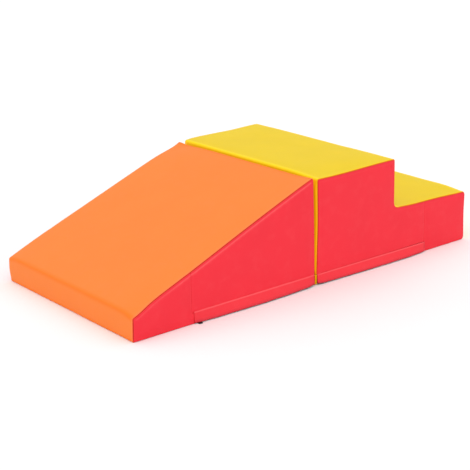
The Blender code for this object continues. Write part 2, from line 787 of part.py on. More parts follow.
def zip_slider(module):
    """The slider, with the bridge that its pull's loop passes under; its origin lies on the loop's pin."""
    side = module.pull_side
    name = f"{module.name}_zip_slider"
    origin = (module.side * slider_place(module), side * (WIDTH / 2 - PIN_DEPTH), ZIP_HEIGHT)
    slider = add_part(name, zip_shell(name, SLIDER_LENGTH, 0, side), module.empty, origin)
    ease(slider, SLIDER_WALL / 4)
    half, foot = BRIDGE_LENGTH / 2, BRIDGE_LENGTH / 2 - BRIDGE_FOOT
    arch = [
        (-half, PLATE_DEPTH + BRIDGE_SINK),
        (-half, BRIDGE_DEPTH + BRIDGE_BAR),
        (-foot, BRIDGE_DEPTH),
        (foot, BRIDGE_DEPTH),
        (half, BRIDGE_DEPTH + BRIDGE_BAR),
        (half, PLATE_DEPTH + BRIDGE_SINK),
        (foot, PLATE_DEPTH + BRIDGE_SINK),
        (foot, BRIDGE_DEPTH + BRIDGE_BAR),
        (-foot, BRIDGE_DEPTH + BRIDGE_BAR),
        (-foot, PLATE_DEPTH + BRIDGE_SINK),
    ]
    half = BRIDGE_WIDTH / 2
    mesh = prism(f"{name}_bridge", arch, -half, half, lambda a, b, c: (a, side * (PIN_DEPTH - b), c))
    combine(slider, add_helper(f"{name}_bridge", mesh, module.empty, origin), "UNION")
    finish(slider, STEEL, METAL_ROUGHNESS, 1.0)


def pull_path():
    """Middle line of the strap as (outward, height) from the loop's pin, and its half width at each point."""
    out = PIN_DEPTH - LOOP_FRONT_DEPTH
    bottom = PULL_LIFT + PULL_THICK / 2 - ZIP_HEIGHT
    top = WIRE - LOOP_HEIGHT / 2
    bend = PULL_BEND
    tip = PIN_DEPTH + PULL_REACH
    neck, full = PULL_NECK / 2, PULL_WIDTH / 2
    shoulder = (top + bottom) / 2
    arc = [(out + bend * (1 - math.cos(turn)), bottom + bend * (1 - math.sin(turn))) for turn in bend_turns()]
    points = [(out, top, neck), (out, shoulder, full), *((a, b, full) for a, b in arc)]
    return points + [(tip - neck, bottom, full), (tip, bottom, neck)]


def bend_turns():
    return [ROUND_CORNER * step / ARC_STEPS for step in range(ARC_STEPS + 1)]


def zip_pull(module):
    """A strap that hangs from its wire loop, bends at the floor and shows its tip under the flap."""
    side = module.pull_side
    name = f"{module.name}_zip_pull"
    points = pull_path()
    origin = (module.side * slider_place(module), side * (WIDTH / 2 - PIN_DEPTH), ZIP_HEIGHT)

    def place(column, row):
        out, height, half = points[column]
        return Vector((half * (row - 1), side * out, height))

    bm = mapped_sheet(len(points), 3, place)
    face_out(bm, Vector((0, 0, -ZIP_HEIGHT)))
    strap = add_part(name, to_mesh(name, bm), module.empty, origin)
    thicken(strap, PULL_THICK)
    strap.modifiers["thickness"].offset = 0
    combine(strap, loop_helper(module, name, side, origin), "UNION")
    finish(strap, BLACK, PLASTIC_ROUGHNESS)


def loop_helper(module, name, side, origin):
    """The wire loop round the slider's bridge."""
    out, half = PIN_DEPTH - LOOP_FRONT_DEPTH, LOOP_HEIGHT / 2 - WIRE
    corners = [(0, -half, WIRE), (0, half, WIRE), (out, half, WIRE), (out, -half, WIRE)]
    outline, _ = rounded_outline(corners)
    curve = bpy.data.curves.new(f"{name}_loop", "CURVE")
    curve.dimensions = "3D"
    curve.bevel_depth = WIRE
    curve.bevel_resolution = 1
    spline = curve.splines.new("POLY")
    spline.points.add(len(outline) - 1)
    for point, (first, second) in zip(spline.points, outline):
        point.co = (0, side * first, second, 1)
    spline.use_cyclic_u = True
    source = bpy.data.objects.new(f"{name}_loop", curve)
    helpers.objects.link(source)
    mesh = bpy.data.meshes.new_from_object(source.evaluated_get(bpy.context.evaluated_depsgraph_get()))
    bpy.data.objects.remove(source)
    bpy.data.curves.remove(curve)
    bm = bmesh.new()
    bm.from_mesh(mesh)
    bmesh.ops.remove_doubles(bm, verts=bm.verts[:], dist=WELD)
    close_out(bm)
    return add_helper(f"{name}_loop", to_mesh(f"{name}_loop", bm), module.empty, origin)


# Hook and loop strips
def joint_strips(module, kind):
    """Two flat strips sewn to the joint face, which meet the other module's strips half way across the gap."""
    back = lean_at(STRIP_LOW) - JOINT_CROWN - CLEARANCE
    front = CLEARANCE / 2 - JOINT_GAP / 2
    for side, where in ((FRONT, "front"), (REAR, "rear")):
        name = f"{module.name}_{where}_{kind}_strip"
        middle = side * (WIDTH / 2 - STRIP_END_INSET - STRIP_LENGTH / 2)
        ends = sorted((module.side * front, module.side * back))
        low = (ends[0], middle - STRIP_LENGTH / 2, STRIP_LOW)
        high = (ends[1], middle + STRIP_LENGTH / 2, STRIP_LOW + STRIP_HEIGHT)
        strip = add_part(name, box(name, low, high), module.empty)
        ease(strip, STRIP_EASE)
        finish(strip, BLACK, CLOTH_ROUGHNESS)


# The two modules
def new_module(name, side, corners, seam, flare_peak, pull_side, tab=0):
    empty = bpy.data.objects.new(f"{name}_module", None)
    parts.objects.link(empty)
    empty.location = (side * JOINT_GAP / 2, 0, 0)
    return Module(name, side, [(0, 0, 0), *corners], seam, tab, flare_peak, pull_side, empty)


def common_pieces(module, strip_kind, joint_colour):
    foam_core(module)
    base_panel(module)
    side_panels(module)
    side_flap(module, FRONT, "front")
    side_flap(module, REAR, "rear")
    end_flap(module, joint_colour)
    zip_tapes(module)
    zip_chain(module)
    zip_stops(module)
    zip_slider(module)
    zip_pull(module)
    joint_strips(module, strip_kind)


def ramp():
    corners = [
        (JOINT_LEAN, HEIGHT, RAMP_SHARP_RADIUS),
        (MODULE_LENGTH, NOSE_HEIGHT, NOSE_RADIUS),
        (MODULE_LENGTH, 0, RAMP_SHARP_RADIUS),
    ]
    module = new_module("ramp", RAMP_SIDE, corners, RAMP_SEAM, RAMP_FLARE_PEAK_SHARE, FRONT, RAMP_TAB)
    stations, arcs = profile_stations(module, (JOINT_CROWN, TOP_CROWN, SIDE_CROWN, 0))
    ridge, _, foot = arcs
    band(module, "ramp_joint_panel", cut_path(stations, 0, ridge), ORANGE)
    slope = cut_path(stations, ridge, foot + FOOT_KEPT_STEPS, (True, False))
    band(module, "ramp_slope_panel", slope, ORANGE)
    common_pieces(module, "hook", ORANGE)


def block():
    corners = [
        (JOINT_LEAN, HEIGHT, BLOCK_RIDGE_RADIUS),
        (DECK_LENGTH, HEIGHT, DECK_RADIUS),
        (DECK_LENGTH, STEP_HEIGHT, NOTCH_RADIUS),
        (MODULE_LENGTH, STEP_HEIGHT, STEP_RADIUS),
        (MODULE_LENGTH, 0, BLOCK_FOOT_RADIUS),
    ]
    module = new_module("block", BLOCK_SIDE, corners, BLOCK_SEAM, BLOCK_FLARE_PEAK_SHARE, REAR)
    crowns = (JOINT_CROWN, TOP_CROWN, SIDE_CROWN, TOP_CROWN, SIDE_CROWN, 0)
    stations, arcs = profile_stations(module, crowns)
    _, _, notch, _, foot = arcs
    notch_seam = notch + ARC_STEPS // 2
    band(module, "block_deck_panel", cut_path(stations, 0, notch_seam), YELLOW)
    low = cut_path(stations, notch_seam, foot + FOOT_KEPT_STEPS, (True, False))
    band(module, "block_tread_panel", low, YELLOW)
    common_pieces(module, "loop", YELLOW)


ramp()
block()
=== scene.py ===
# Soft play foam climber: a slide ramp and a step block in sewn PU leather covers.
# Lengths are metres. u is the distance from a module's joint face, reach the distance from an edge or seam.

import json
import math
from collections import namedtuple

import bmesh
import bpy
from mathutils import Matrix, Vector, noise
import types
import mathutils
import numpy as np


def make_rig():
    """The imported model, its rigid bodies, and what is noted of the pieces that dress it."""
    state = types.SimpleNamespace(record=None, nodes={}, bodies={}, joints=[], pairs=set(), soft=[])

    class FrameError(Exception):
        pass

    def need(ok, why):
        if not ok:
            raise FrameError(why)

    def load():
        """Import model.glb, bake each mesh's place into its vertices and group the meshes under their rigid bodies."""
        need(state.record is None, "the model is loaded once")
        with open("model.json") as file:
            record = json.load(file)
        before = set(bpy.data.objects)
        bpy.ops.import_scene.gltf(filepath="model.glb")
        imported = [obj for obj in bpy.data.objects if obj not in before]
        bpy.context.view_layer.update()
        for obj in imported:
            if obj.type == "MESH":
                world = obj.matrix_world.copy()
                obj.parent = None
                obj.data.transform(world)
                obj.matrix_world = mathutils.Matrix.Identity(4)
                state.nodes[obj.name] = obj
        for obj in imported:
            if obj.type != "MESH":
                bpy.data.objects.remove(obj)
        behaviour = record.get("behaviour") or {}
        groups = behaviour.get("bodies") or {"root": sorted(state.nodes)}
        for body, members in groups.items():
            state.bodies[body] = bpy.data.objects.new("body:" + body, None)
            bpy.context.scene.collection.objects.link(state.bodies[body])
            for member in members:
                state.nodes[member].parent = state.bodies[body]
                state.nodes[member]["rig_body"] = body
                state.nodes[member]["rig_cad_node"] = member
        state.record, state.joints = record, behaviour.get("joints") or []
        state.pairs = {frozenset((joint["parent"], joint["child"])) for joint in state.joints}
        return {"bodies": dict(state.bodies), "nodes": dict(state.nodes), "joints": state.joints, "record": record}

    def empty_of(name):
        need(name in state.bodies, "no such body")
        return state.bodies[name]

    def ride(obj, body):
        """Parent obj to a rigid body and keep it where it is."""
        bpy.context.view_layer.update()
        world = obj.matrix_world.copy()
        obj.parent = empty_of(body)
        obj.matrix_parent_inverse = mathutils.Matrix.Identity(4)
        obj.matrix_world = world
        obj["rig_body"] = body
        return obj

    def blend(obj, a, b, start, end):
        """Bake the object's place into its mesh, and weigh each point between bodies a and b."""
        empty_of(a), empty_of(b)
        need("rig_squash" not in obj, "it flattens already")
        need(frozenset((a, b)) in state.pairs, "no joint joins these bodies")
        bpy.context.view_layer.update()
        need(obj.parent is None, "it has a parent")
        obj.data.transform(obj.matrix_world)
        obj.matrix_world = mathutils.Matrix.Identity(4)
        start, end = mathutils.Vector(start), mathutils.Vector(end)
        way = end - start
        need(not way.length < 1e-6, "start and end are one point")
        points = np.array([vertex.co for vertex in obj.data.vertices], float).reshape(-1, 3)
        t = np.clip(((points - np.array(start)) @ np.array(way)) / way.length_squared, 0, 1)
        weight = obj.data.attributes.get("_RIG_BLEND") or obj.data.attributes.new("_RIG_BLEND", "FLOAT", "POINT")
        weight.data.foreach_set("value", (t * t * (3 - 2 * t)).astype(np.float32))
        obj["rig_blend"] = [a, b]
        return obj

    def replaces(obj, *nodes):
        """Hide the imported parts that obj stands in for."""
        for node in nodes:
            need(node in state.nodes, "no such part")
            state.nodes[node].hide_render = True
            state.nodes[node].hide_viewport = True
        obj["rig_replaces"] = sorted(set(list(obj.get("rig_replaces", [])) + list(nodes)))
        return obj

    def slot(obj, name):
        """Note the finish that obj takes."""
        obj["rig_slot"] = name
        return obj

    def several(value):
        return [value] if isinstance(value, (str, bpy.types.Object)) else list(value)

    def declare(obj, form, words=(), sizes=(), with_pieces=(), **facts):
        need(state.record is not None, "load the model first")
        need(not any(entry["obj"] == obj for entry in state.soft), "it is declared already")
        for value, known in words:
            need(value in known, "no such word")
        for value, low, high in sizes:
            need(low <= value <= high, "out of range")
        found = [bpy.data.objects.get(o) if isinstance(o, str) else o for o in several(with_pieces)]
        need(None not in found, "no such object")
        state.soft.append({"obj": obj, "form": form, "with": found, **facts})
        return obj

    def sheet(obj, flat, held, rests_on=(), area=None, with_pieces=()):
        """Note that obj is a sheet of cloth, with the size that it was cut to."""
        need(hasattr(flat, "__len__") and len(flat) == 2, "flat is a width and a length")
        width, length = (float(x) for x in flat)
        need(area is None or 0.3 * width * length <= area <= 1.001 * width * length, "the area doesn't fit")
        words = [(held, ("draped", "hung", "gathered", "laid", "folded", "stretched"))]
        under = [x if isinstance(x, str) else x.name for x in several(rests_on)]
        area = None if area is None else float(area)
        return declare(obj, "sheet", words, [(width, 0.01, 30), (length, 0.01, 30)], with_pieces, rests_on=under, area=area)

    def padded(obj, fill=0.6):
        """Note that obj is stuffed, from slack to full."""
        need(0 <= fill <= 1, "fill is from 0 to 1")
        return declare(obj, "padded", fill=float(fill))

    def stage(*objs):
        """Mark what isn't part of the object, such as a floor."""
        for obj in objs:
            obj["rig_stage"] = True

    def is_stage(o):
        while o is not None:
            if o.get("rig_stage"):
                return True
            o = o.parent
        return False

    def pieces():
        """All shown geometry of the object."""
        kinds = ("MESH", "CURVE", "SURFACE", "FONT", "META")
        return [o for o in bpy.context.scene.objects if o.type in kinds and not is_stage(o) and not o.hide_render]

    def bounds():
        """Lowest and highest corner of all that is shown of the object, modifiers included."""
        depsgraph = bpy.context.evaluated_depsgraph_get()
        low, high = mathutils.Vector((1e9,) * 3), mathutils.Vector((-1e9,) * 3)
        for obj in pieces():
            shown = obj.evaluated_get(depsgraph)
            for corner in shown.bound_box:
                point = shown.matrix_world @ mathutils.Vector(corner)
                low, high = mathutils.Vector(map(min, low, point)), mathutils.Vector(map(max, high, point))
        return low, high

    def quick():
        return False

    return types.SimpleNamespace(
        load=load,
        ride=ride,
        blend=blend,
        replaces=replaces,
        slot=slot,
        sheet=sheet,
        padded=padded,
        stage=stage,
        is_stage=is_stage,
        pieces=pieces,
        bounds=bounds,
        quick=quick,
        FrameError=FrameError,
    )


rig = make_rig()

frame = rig.load()
cad_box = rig.bounds()

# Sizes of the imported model
MODULE_LENGTH, WIDTH, HEIGHT = 0.610, 0.610, 0.307
NOSE_HEIGHT, DECK_LENGTH, STEP_HEIGHT = 0.074, 0.305, 0.1565
JOINT_GAP, JOINT_LEAN = 0.004, 0.005
RAMP_RIDGE, NOSE_RADIUS, RAMP_FOOT = 0.00495, 0.0065, 0.00495
BLOCK_RIDGE, DECK_RADIUS, NOTCH_RADIUS, STEP_RADIUS, BLOCK_FOOT = 0.0065, 0.007, 0.018, 0.012, 0.012
RAMP_SEAM, BLOCK_SEAM, RAMP_TAB = 0.425, 0.431, 0.008
FLAP_TOP, FLAP_HEM, FLAP_CORNER_GAP, JOINT_FLAP_INSET = 0.030, 0.0025, 0.0042, 0.0006
FLARE_END, FLARE_MIDDLE = 0.0030, 0.0110
TOP_CROWN, SIDE_CROWN, JOINT_CROWN, CROWN_REACH, SWELL_START = 0.0025, 0.002, 0.0008, 0.11, 0.02
CLEARANCE = 0.0003
FLAP_DROP, FLAP_HEIGHT = FLAP_TOP - CLEARANCE / 2 - FLAP_HEM, FLAP_TOP - FLAP_HEM

# Sewn edges: the rounded edge of a panel, the roll of cover at its seam and the gap between two rolls
ARRIS, ARRIS_ROLL, ARRIS_GAP = 0.0045, 0.0016, 0.0006
ROLL, ROLL_GAP = 0.0011, 0.0002
COVER = 0.0009
VALLEY, VALLEY_REACH = 0.0009, 0.009
FOOT_DROP, FOOT_REACH = 0.0024, 0.012
TUCK, TUCK_LAP = 0.0020, 0.0004

# Extra roundness of a joint face at its upright edges
ROUND_START, ROUND_REACH, ROUND_FADE, ROUND_FADE_WIDTH = 0.003, 0.014, 0.016, 0.017
ROUND_FROM_END = 0.02

# Slow unevenness of a cover as (depth, size), and how far from an edge and a seam it is full
WOBBLES = ((0.00050, 0.120), (0.00022, 0.045))
WOBBLE_FROM_EDGE, WOBBLE_FROM_SEAM = 0.05, 0.04
NOISE_SHIFTS = (7.3, 3.1, 5.7)

# Puckers at a seam: narrow ones and wide ones, and where they start at an edge and a seam
PUCKER_DEPTH, PUCKER_REACH, PUCKER_SIZE = 0.00030, 0.0085, 0.0085
WIDE_PUCKER_SIZE, WIDE_PUCKER_SHARE = 0.021, 0.6
SIDE_SEAM_PUCKER, FLAP_PUCKER = 0.00042, 0.00038
EDGE_PUCKER_START, SEAM_PUCKER_START, PUCKER_DROP, SEAM_PUCKER_REACH = 0.003, 0.001, 0.0011, 0.05

# Painted light and shade: how far the painted edge light, the painted light and shade at bends and the painted shade
# in grooves reach, and where a side panel's painted highlight is strongest
EDGE_LIGHT_REACH, BEND_REACH = 0.008, 0.006
PALE_WIDTH, EDGE_PALE, SEAM_PALE = 0.0022, 0.0052, 0.002
LOW_HIGHLIGHT, LOW_HIGHLIGHT_START, LOW_HIGHLIGHT_WIDTH = 0.5, 0.43, 0.10
GROOVE_RISE, GROOVE_HIGHLIGHT = 0.7, 0.8

# Spacing of points
ROLL_STEPS, ARC_STEPS, RUN_STEP = 5, 10, 0.008
FINE_ROWS = (0.0015, 0.003, 0.005, 0.007)
FINE_CUTS = (0.0022, 0.0034, 0.0048, 0.0062, 0.0085, 0.0120, 0.0175, 0.0250)
CLOSEST, SHARPEST, TOUCHING, TINY, SAME_WAY, FAR = 2e-4, 5e-4, 2e-6, 1e-6, 0.97, 1.0

FRONT, REAR = -1, 1
SIDES = ((FRONT, "front"), (REAR, "rear"))


def left_of(direction):
    return Vector((-direction.y, direction.x))


def turned(vector, angle):
    cosine, sine = math.cos(angle), math.sin(angle)
    return Vector((vector.x * cosine - vector.y * sine, vector.x * sine + vector.y * cosine))


def cross(a, b):
    return a.x * b.y - a.y * b.x


def lerp(a, b, share):
    return a + (b - a) * share


def spread(low, high, step):
    """Even places from low to high, no further apart than step."""
    count = max(1, math.ceil((high - low) / step))
    return [lerp(low, high, i / count) for i in range(count + 1)]


Run = namedtuple("Run", "begin length start along out crown")
Arc = namedtuple("Arc", "begin length centre radius out convex")
Spot = namedtuple("Spot", "at out fold crown run gone")


class Path:
    """A line through rounded corners (first, second, radius), with its outside on the left."""

    def __init__(self, corners, crowns=None):
        points = [Vector(corner[:2]) for corner in corners]
        self.pieces = []
        begin, start = 0.0, points[0]
        for i in range(1, len(points)):
            arriving = (points[i] - points[i - 1]).normalized()
            last = i == len(points) - 1
            radius = 0 if last else corners[i][2]
            leaving = arriving if last else (points[i + 1] - points[i]).normalized()
            angle = math.acos(max(-1, min(1, arriving.dot(leaving))))
            end = points[i] - arriving * radius * math.tan(angle / 2)
            length = (end - start).length
            out = left_of(arriving)
            self.pieces.append(Run(begin, length, start, arriving, out, crowns[i - 1] if crowns else 0))
            begin += length
            if radius:
                convex = 1 if cross(arriving, leaving) < 0 else -1
                centre = end - out * radius * convex
                self.pieces.append(Arc(begin, radius * angle, centre, radius, out, convex))
                begin += radius * angle
                end = centre + turned(out, -convex * angle) * radius * convex
            start = end
        self.sheets = {}

    def at(self, s):
        for index, piece in enumerate(self.pieces):
            if s <= piece.begin + piece.length + TINY:
                break
        gone = s - piece.begin
        if isinstance(piece, Run):
            fold = max(min(gone, piece.length - gone), 0)
            return Spot(piece.start + piece.along * gone, piece.out, fold, piece.crown, index, gone)
        out = turned(piece.out, -piece.convex * gone / piece.radius)
        return Spot(piece.centre + out * piece.radius * piece.convex, out, 0, 0, index, gone)

    def swelling(self, spot, reach, y):
        """How far the cover stands out there, as a share of its run's crown."""
        if spot.run in self.sheets:
            return self.sheets[spot.run].share_at(y + WIDTH / 2, spot.gone)
        return swell(reach) * swell(spot.fold)

    def stops(self, low, high):
        """Places to put points at between two distances."""
        found = [low, high]
        for piece in self.pieces:
            pace = piece.length / ARC_STEPS if isinstance(piece, Arc) else RUN_STEP
            found += [s for s in spread(piece.begin, piece.begin + piece.length, pace) if low < s < high]
        kept = [low]
        for s in sorted(found):
            if s - kept[-1] > CLOSEST:
                kept.append(s)
        kept[-1] = high
        return kept


def roll(centre, radius, begin, end, steps=ROLL_STEPS):
    """(reach, drop) points of an arc, as its angle from straight up runs from begin to end."""
    angles = [lerp(begin, end, i / steps) for i in range(steps + 1)]
    return [(centre[0] - radius * math.sin(angle), centre[1] - radius * math.cos(angle)) for angle in angles]


# Sections of the sewn edges, as (reach, drop) from the bottom of the groove up to the open face
def arris_section():
    """A rounded edge that ends in a roll, which meets the roll of the panel round the corner."""
    inner = ARRIS - ARRIS_ROLL
    tilt = math.acos((ARRIS_ROLL + ARRIS_GAP / 2) / inner) - math.radians(45)
    centre = Vector((ARRIS - inner * math.sin(tilt), ARRIS - inner * math.cos(tilt)))
    section = roll(centre, ARRIS_ROLL, math.radians(135), tilt)
    bottom = section[0][0] + TUCK * math.sqrt(0.5)
    return [(bottom, bottom + TUCK_LAP), *section, *roll((ARRIS, ARRIS), ARRIS, tilt, 0, ROLL_STEPS - 1)[1:]]


def flat_drop(reach):
    start = ROLL + ROLL_GAP / 2
    return VALLEY * max(1 - (reach - start) / (VALLEY_REACH - start), 0) ** 2


def flat_section():
    """A flat panel that rolls down into the seam with its neighbour."""
    start = ROLL + ROLL_GAP / 2
    section = roll((start, VALLEY + ROLL), ROLL, math.pi / 2, 0)
    reaches = [lerp(start, VALLEY_REACH, i / (ROLL_STEPS - 1)) for i in range(1, ROLL_STEPS)]
    bottom = (section[0][0] - TUCK_LAP, section[0][1] + TUCK)
    return [bottom, *section, *((reach, flat_drop(reach)) for reach in reaches)]


SECTIONS = {"arris": arris_section(), "flat": flat_section()}
LIP = ROLL_STEPS + 1  # the row where the roll meets the open face
LIP_REACH = {kind: section[LIP][0] for kind, section in SECTIONS.items()}
GROOVE_SHADES = (1.0, 1.0, 1.0, 0.8, 0.5, 0.2)  # of the rows below it


def arris_drop(reach):
    left = max(ARRIS - reach, 0)
    return ARRIS - math.sqrt(ARRIS**2 - left**2)


def swell(reach):
    """0 at an edge, rising to 1 where a panel stands proudest."""
    return 1 - (1 - min(max(reach, 0) / CROWN_REACH, 1)) ** 2


def settle(reach, width):
    """0 at an edge, rising smoothly to 1 at that width."""
    share = min(max(reach, 0) / width, 1)
    return share * share * (3 - 2 * share)


def bell(distance, width):
    """1 in the middle, falling away at both sides."""
    return math.exp(-((distance / width) ** 2))


def rounding(reach):
    """Extra roundness of a joint face beside its upright edges, as a share."""
    def share(distance):
        return 1 - (1 - min(distance / ROUND_REACH, 1)) ** 2

    return max(share(reach) - share(ROUND_START), 0) * (1 - settle(reach - ROUND_FADE, ROUND_FADE_WIDTH))


def noise_at(point, size, seed):
    return noise.noise(Vector(point) / size + Vector([seed * shift for shift in NOISE_SHIFTS]))


def wobble(point, seed):
    """Slow unevenness of a cover over its foam."""
    return sum(depth * noise_at(point, size, seed + i) for i, (depth, size) in enumerate(WOBBLES))


def pucker(key, reach, seed, depth=PUCKER_DEPTH):
    """Small gathers that run away from a seam; key is the nearest place on the seam."""
    fade = math.exp(-max(reach, 0) / PUCKER_REACH)
    wide = WIDE_PUCKER_SHARE * noise_at(key, WIDE_PUCKER_SIZE, seed + 2)
    return depth * fade * (noise_at(key, PUCKER_SIZE, seed) + wide)


def extremes(points, axes=2):
    """The lowest and the highest values of points, by axis."""
    values = [*zip(*points)][:axes]
    return [min(every) for every in values], [max(every) for every in values]


# Objects
# Names of the painted light that each vertex carries: edge light, light and shade at bends, and shade in seams
MARKS = ("wear", "fold", "seam")


def mesh_of(name, bm):
    mesh = bpy.data.meshes.new(name)
    bm.to_mesh(mesh)
    bm.free()
    return mesh


def linked(name, data):
    obj = bpy.data.objects.new(name, data)
    bpy.context.scene.collection.objects.link(obj)
    return obj


def add_object(name, bm, body, material, marks=None):
    """A piece, with each vertex's painted edge light, painted light and shade at bends and painted shade in seams;
    without a body it rides on none.
    """
    rows = [marks[vertex] for vertex in bm.verts] if marks else []
    mesh = mesh_of(name, bm)
    for kind, values in zip(MARKS, zip(*rows)):
        mesh.attributes.new(kind, "FLOAT", "POINT").data.foreach_set("value", values)
    mesh.shade_smooth()
    obj = linked(name, mesh)
    mesh.materials.append(material)
    if body:
        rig.ride(obj, body)
    return obj


def stand_for(obj, node):
    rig.replaces(obj, node)
    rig.slot(obj, node)
    return obj


def grid_mesh(columns, rows, place, marks_at=None):
    """A sheet of columns by rows points, and its marks."""
    bm = bmesh.new()
    grid = [[bm.verts.new(place(column, row)) for row in range(rows)] for column in range(columns)]
    for left, right in zip(grid, grid[1:]):
        for row in range(rows - 1):
            bm.faces.new((left[row], right[row], right[row + 1], left[row + 1]))
    marks = {}
    for column, line in enumerate(grid if marks_at else ()):
        marks.update((vertex, marks_at(column, row)) for row, vertex in enumerate(line))
    return bm, marks


def loft(bm, rings):
    """Joins closed rings of points into a tube with closed ends."""
    for first, second in zip(rings, rings[1:]):
        for k in range(len(first)):
            after = (k + 1) % len(first)
            bm.faces.new((first[k], first[after], second[after], second[k]))
    bm.faces.new(rings[0][::-1])
    bm.faces.new(rings[-1])


def cut(bm, point, normal):
    geometry = bm.verts[:] + bm.edges[:] + bm.faces[:]
    bmesh.ops.bisect_plane(bm, geom=geometry, dist=TINY, plane_co=point.to_3d(), plane_no=normal.to_3d())


def slice_evenly(bm, low, high, step):
    """Cuts a mesh across each axis at places no further apart than step."""
    for axis, (start, end) in enumerate(zip(low, high)):
        along = Vector([float(other == axis) for other in range(len(low))])
        for place in spread(start, end, step)[1:-1]:
            cut(bm, along * place, along)


# A module's shape, its painted highlights at edges and seams, and the form and painted end shade of its side flaps
Module = namedtuple(
    "Module",
    "name side profile crowns seam tab joint_round strip edge_wear seam_wear"
    " flap_shift flare_peak laps hem_rises end_shade",
)


def x_at(module, u):
    return module.side * (JOINT_GAP / 2 + u)


def lean_at(z):
    return JOINT_LEAN * z / HEIGHT


FLAP_CORNER = (lean_at(FLAP_TOP), FLAP_TOP, 0)


def tab_end(module):
    """Where the end panel's tab stops, beside the flap."""
    return module.seam - module.tab


def sewn_piece(module, name, form, bm, material, marks):
    """A piece of the cover, turned outwards and as thick as the cover, which stands for a node."""
    inside = Vector((x_at(module, MODULE_LENGTH / 3), 0, NOSE_HEIGHT / 2))
    bmesh.ops.recalc_face_normals(bm, faces=bm.faces[:])
    bm.normal_update()
    lean = sum(face.calc_area() * face.normal.dot(face.calc_center_median() - inside) for face in bm.faces)
    if lean < 0:
        bmesh.ops.reverse_faces(bm, faces=bm.faces[:])
    node = f"{module.name}_{name}"
    obj = add_object(f"{node}_{form}", bm, module.name, material, marks)
    modifier = obj.modifiers.new("thickness", "SOLIDIFY")
    modifier.thickness = COVER
    modifier.use_quality_normals = True
    return stand_for(obj, node)


# Cover bands, along the profile from side to side
def cross_rows():
    """(reach, drop) rows from the groove at one side to the middle of the width."""
    rows = list(SECTIONS["arris"])
    for step in FINE_ROWS:
        rows.append((rows[-1][0] + step, 0.0))
    rows += [(reach, 0.0) for reach in spread(rows[-1][0], WIDTH / 2, RUN_STEP)[1:]]
    return rows


def seam_columns(path, begin, end, sewn):
    """(distance, drop, reach from the nearest seam) of each column of a band."""
    low = begin + VALLEY_REACH if sewn[0] else begin
    high = end - VALLEY_REACH if sewn[1] else end
    columns = []
    if sewn[0]:
        columns += [(begin + reach, drop, reach) for reach, drop in SECTIONS["flat"][:-1]]
    for s in path.stops(low, high):
        reach = min([s - begin] * sewn[0] + [end - s] * sewn[1], default=FAR)
        columns.append((s, 0.0, reach))
    if sewn[1]:
        columns += [(end - reach, drop, reach) for reach, drop in SECTIONS["flat"][-2::-1]]
    return columns


def band(module, path, name, begin, end, sewn, material, seed):
    rows = cross_rows()
    middle = len(rows) - 1
    columns = seam_columns(path, begin, end, sewn)

    def place(column, row):
        s, seam_drop, seam_reach = columns[column]
        mirrored = row > middle
        reach, drop = rows[2 * middle - row] if mirrored else rows[row]
        side = REAR if mirrored else FRONT
        spot = path.at(s)
        y = side * (WIDTH / 2 - reach)
        rise = spot.crown * path.swelling(spot, reach, y) if spot.crown else 0.0
        still = settle(reach, WOBBLE_FROM_EDGE) * settle(seam_reach, WOBBLE_FROM_SEAM)
        if s < path.pieces[0].length:
            rise += module.joint_round * rounding(reach) * settle(spot.fold, ROUND_FROM_END)
        rise += wobble((spot.at.x, y, spot.at.y), seed) * still
        if drop < PUCKER_DROP:
            rise += pucker((s, side, 0), reach - EDGE_PUCKER_START, seed + 4)
        if seam_reach < SEAM_PUCKER_REACH and seam_drop < VALLEY + TINY:
            rise += pucker((0, y, 0), seam_reach - SEAM_PUCKER_START, seed + 5)
        at = spot.at + spot.out * (rise - drop - seam_drop)
        return Vector((x_at(module, at.x), y, at.y))

    def marks_at(column, row):
        row = min(row, 2 * middle - row)
        s = columns[column][0]
        spot = path.at(s)
        # Painted light: light and shade over the joint face and at bends, shade deep in the grooves, and edge light
        # along the rolled side edges
        bend_shading = s < path.pieces[0].length or (spot.crown == 0 and spot.fold == 0)
        fold = 1.0 if bend_shading else max(1 - spot.fold / BEND_REACH, 0)
        groove = GROOVE_SHADES[row] if row < LIP else 0.0
        return max(1 - rows[row][0] / EDGE_LIGHT_REACH, 0), fold, groove

    bm, marks = grid_mesh(len(columns), 2 * middle + 1, place, marks_at)
    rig.padded(sewn_piece(module, name, "cover", bm, material, marks), fill=0.95)


# Flat panels, which fill an outline on the side of a module
Edge = namedtuple("Edge", "start end start_in end_in kind")


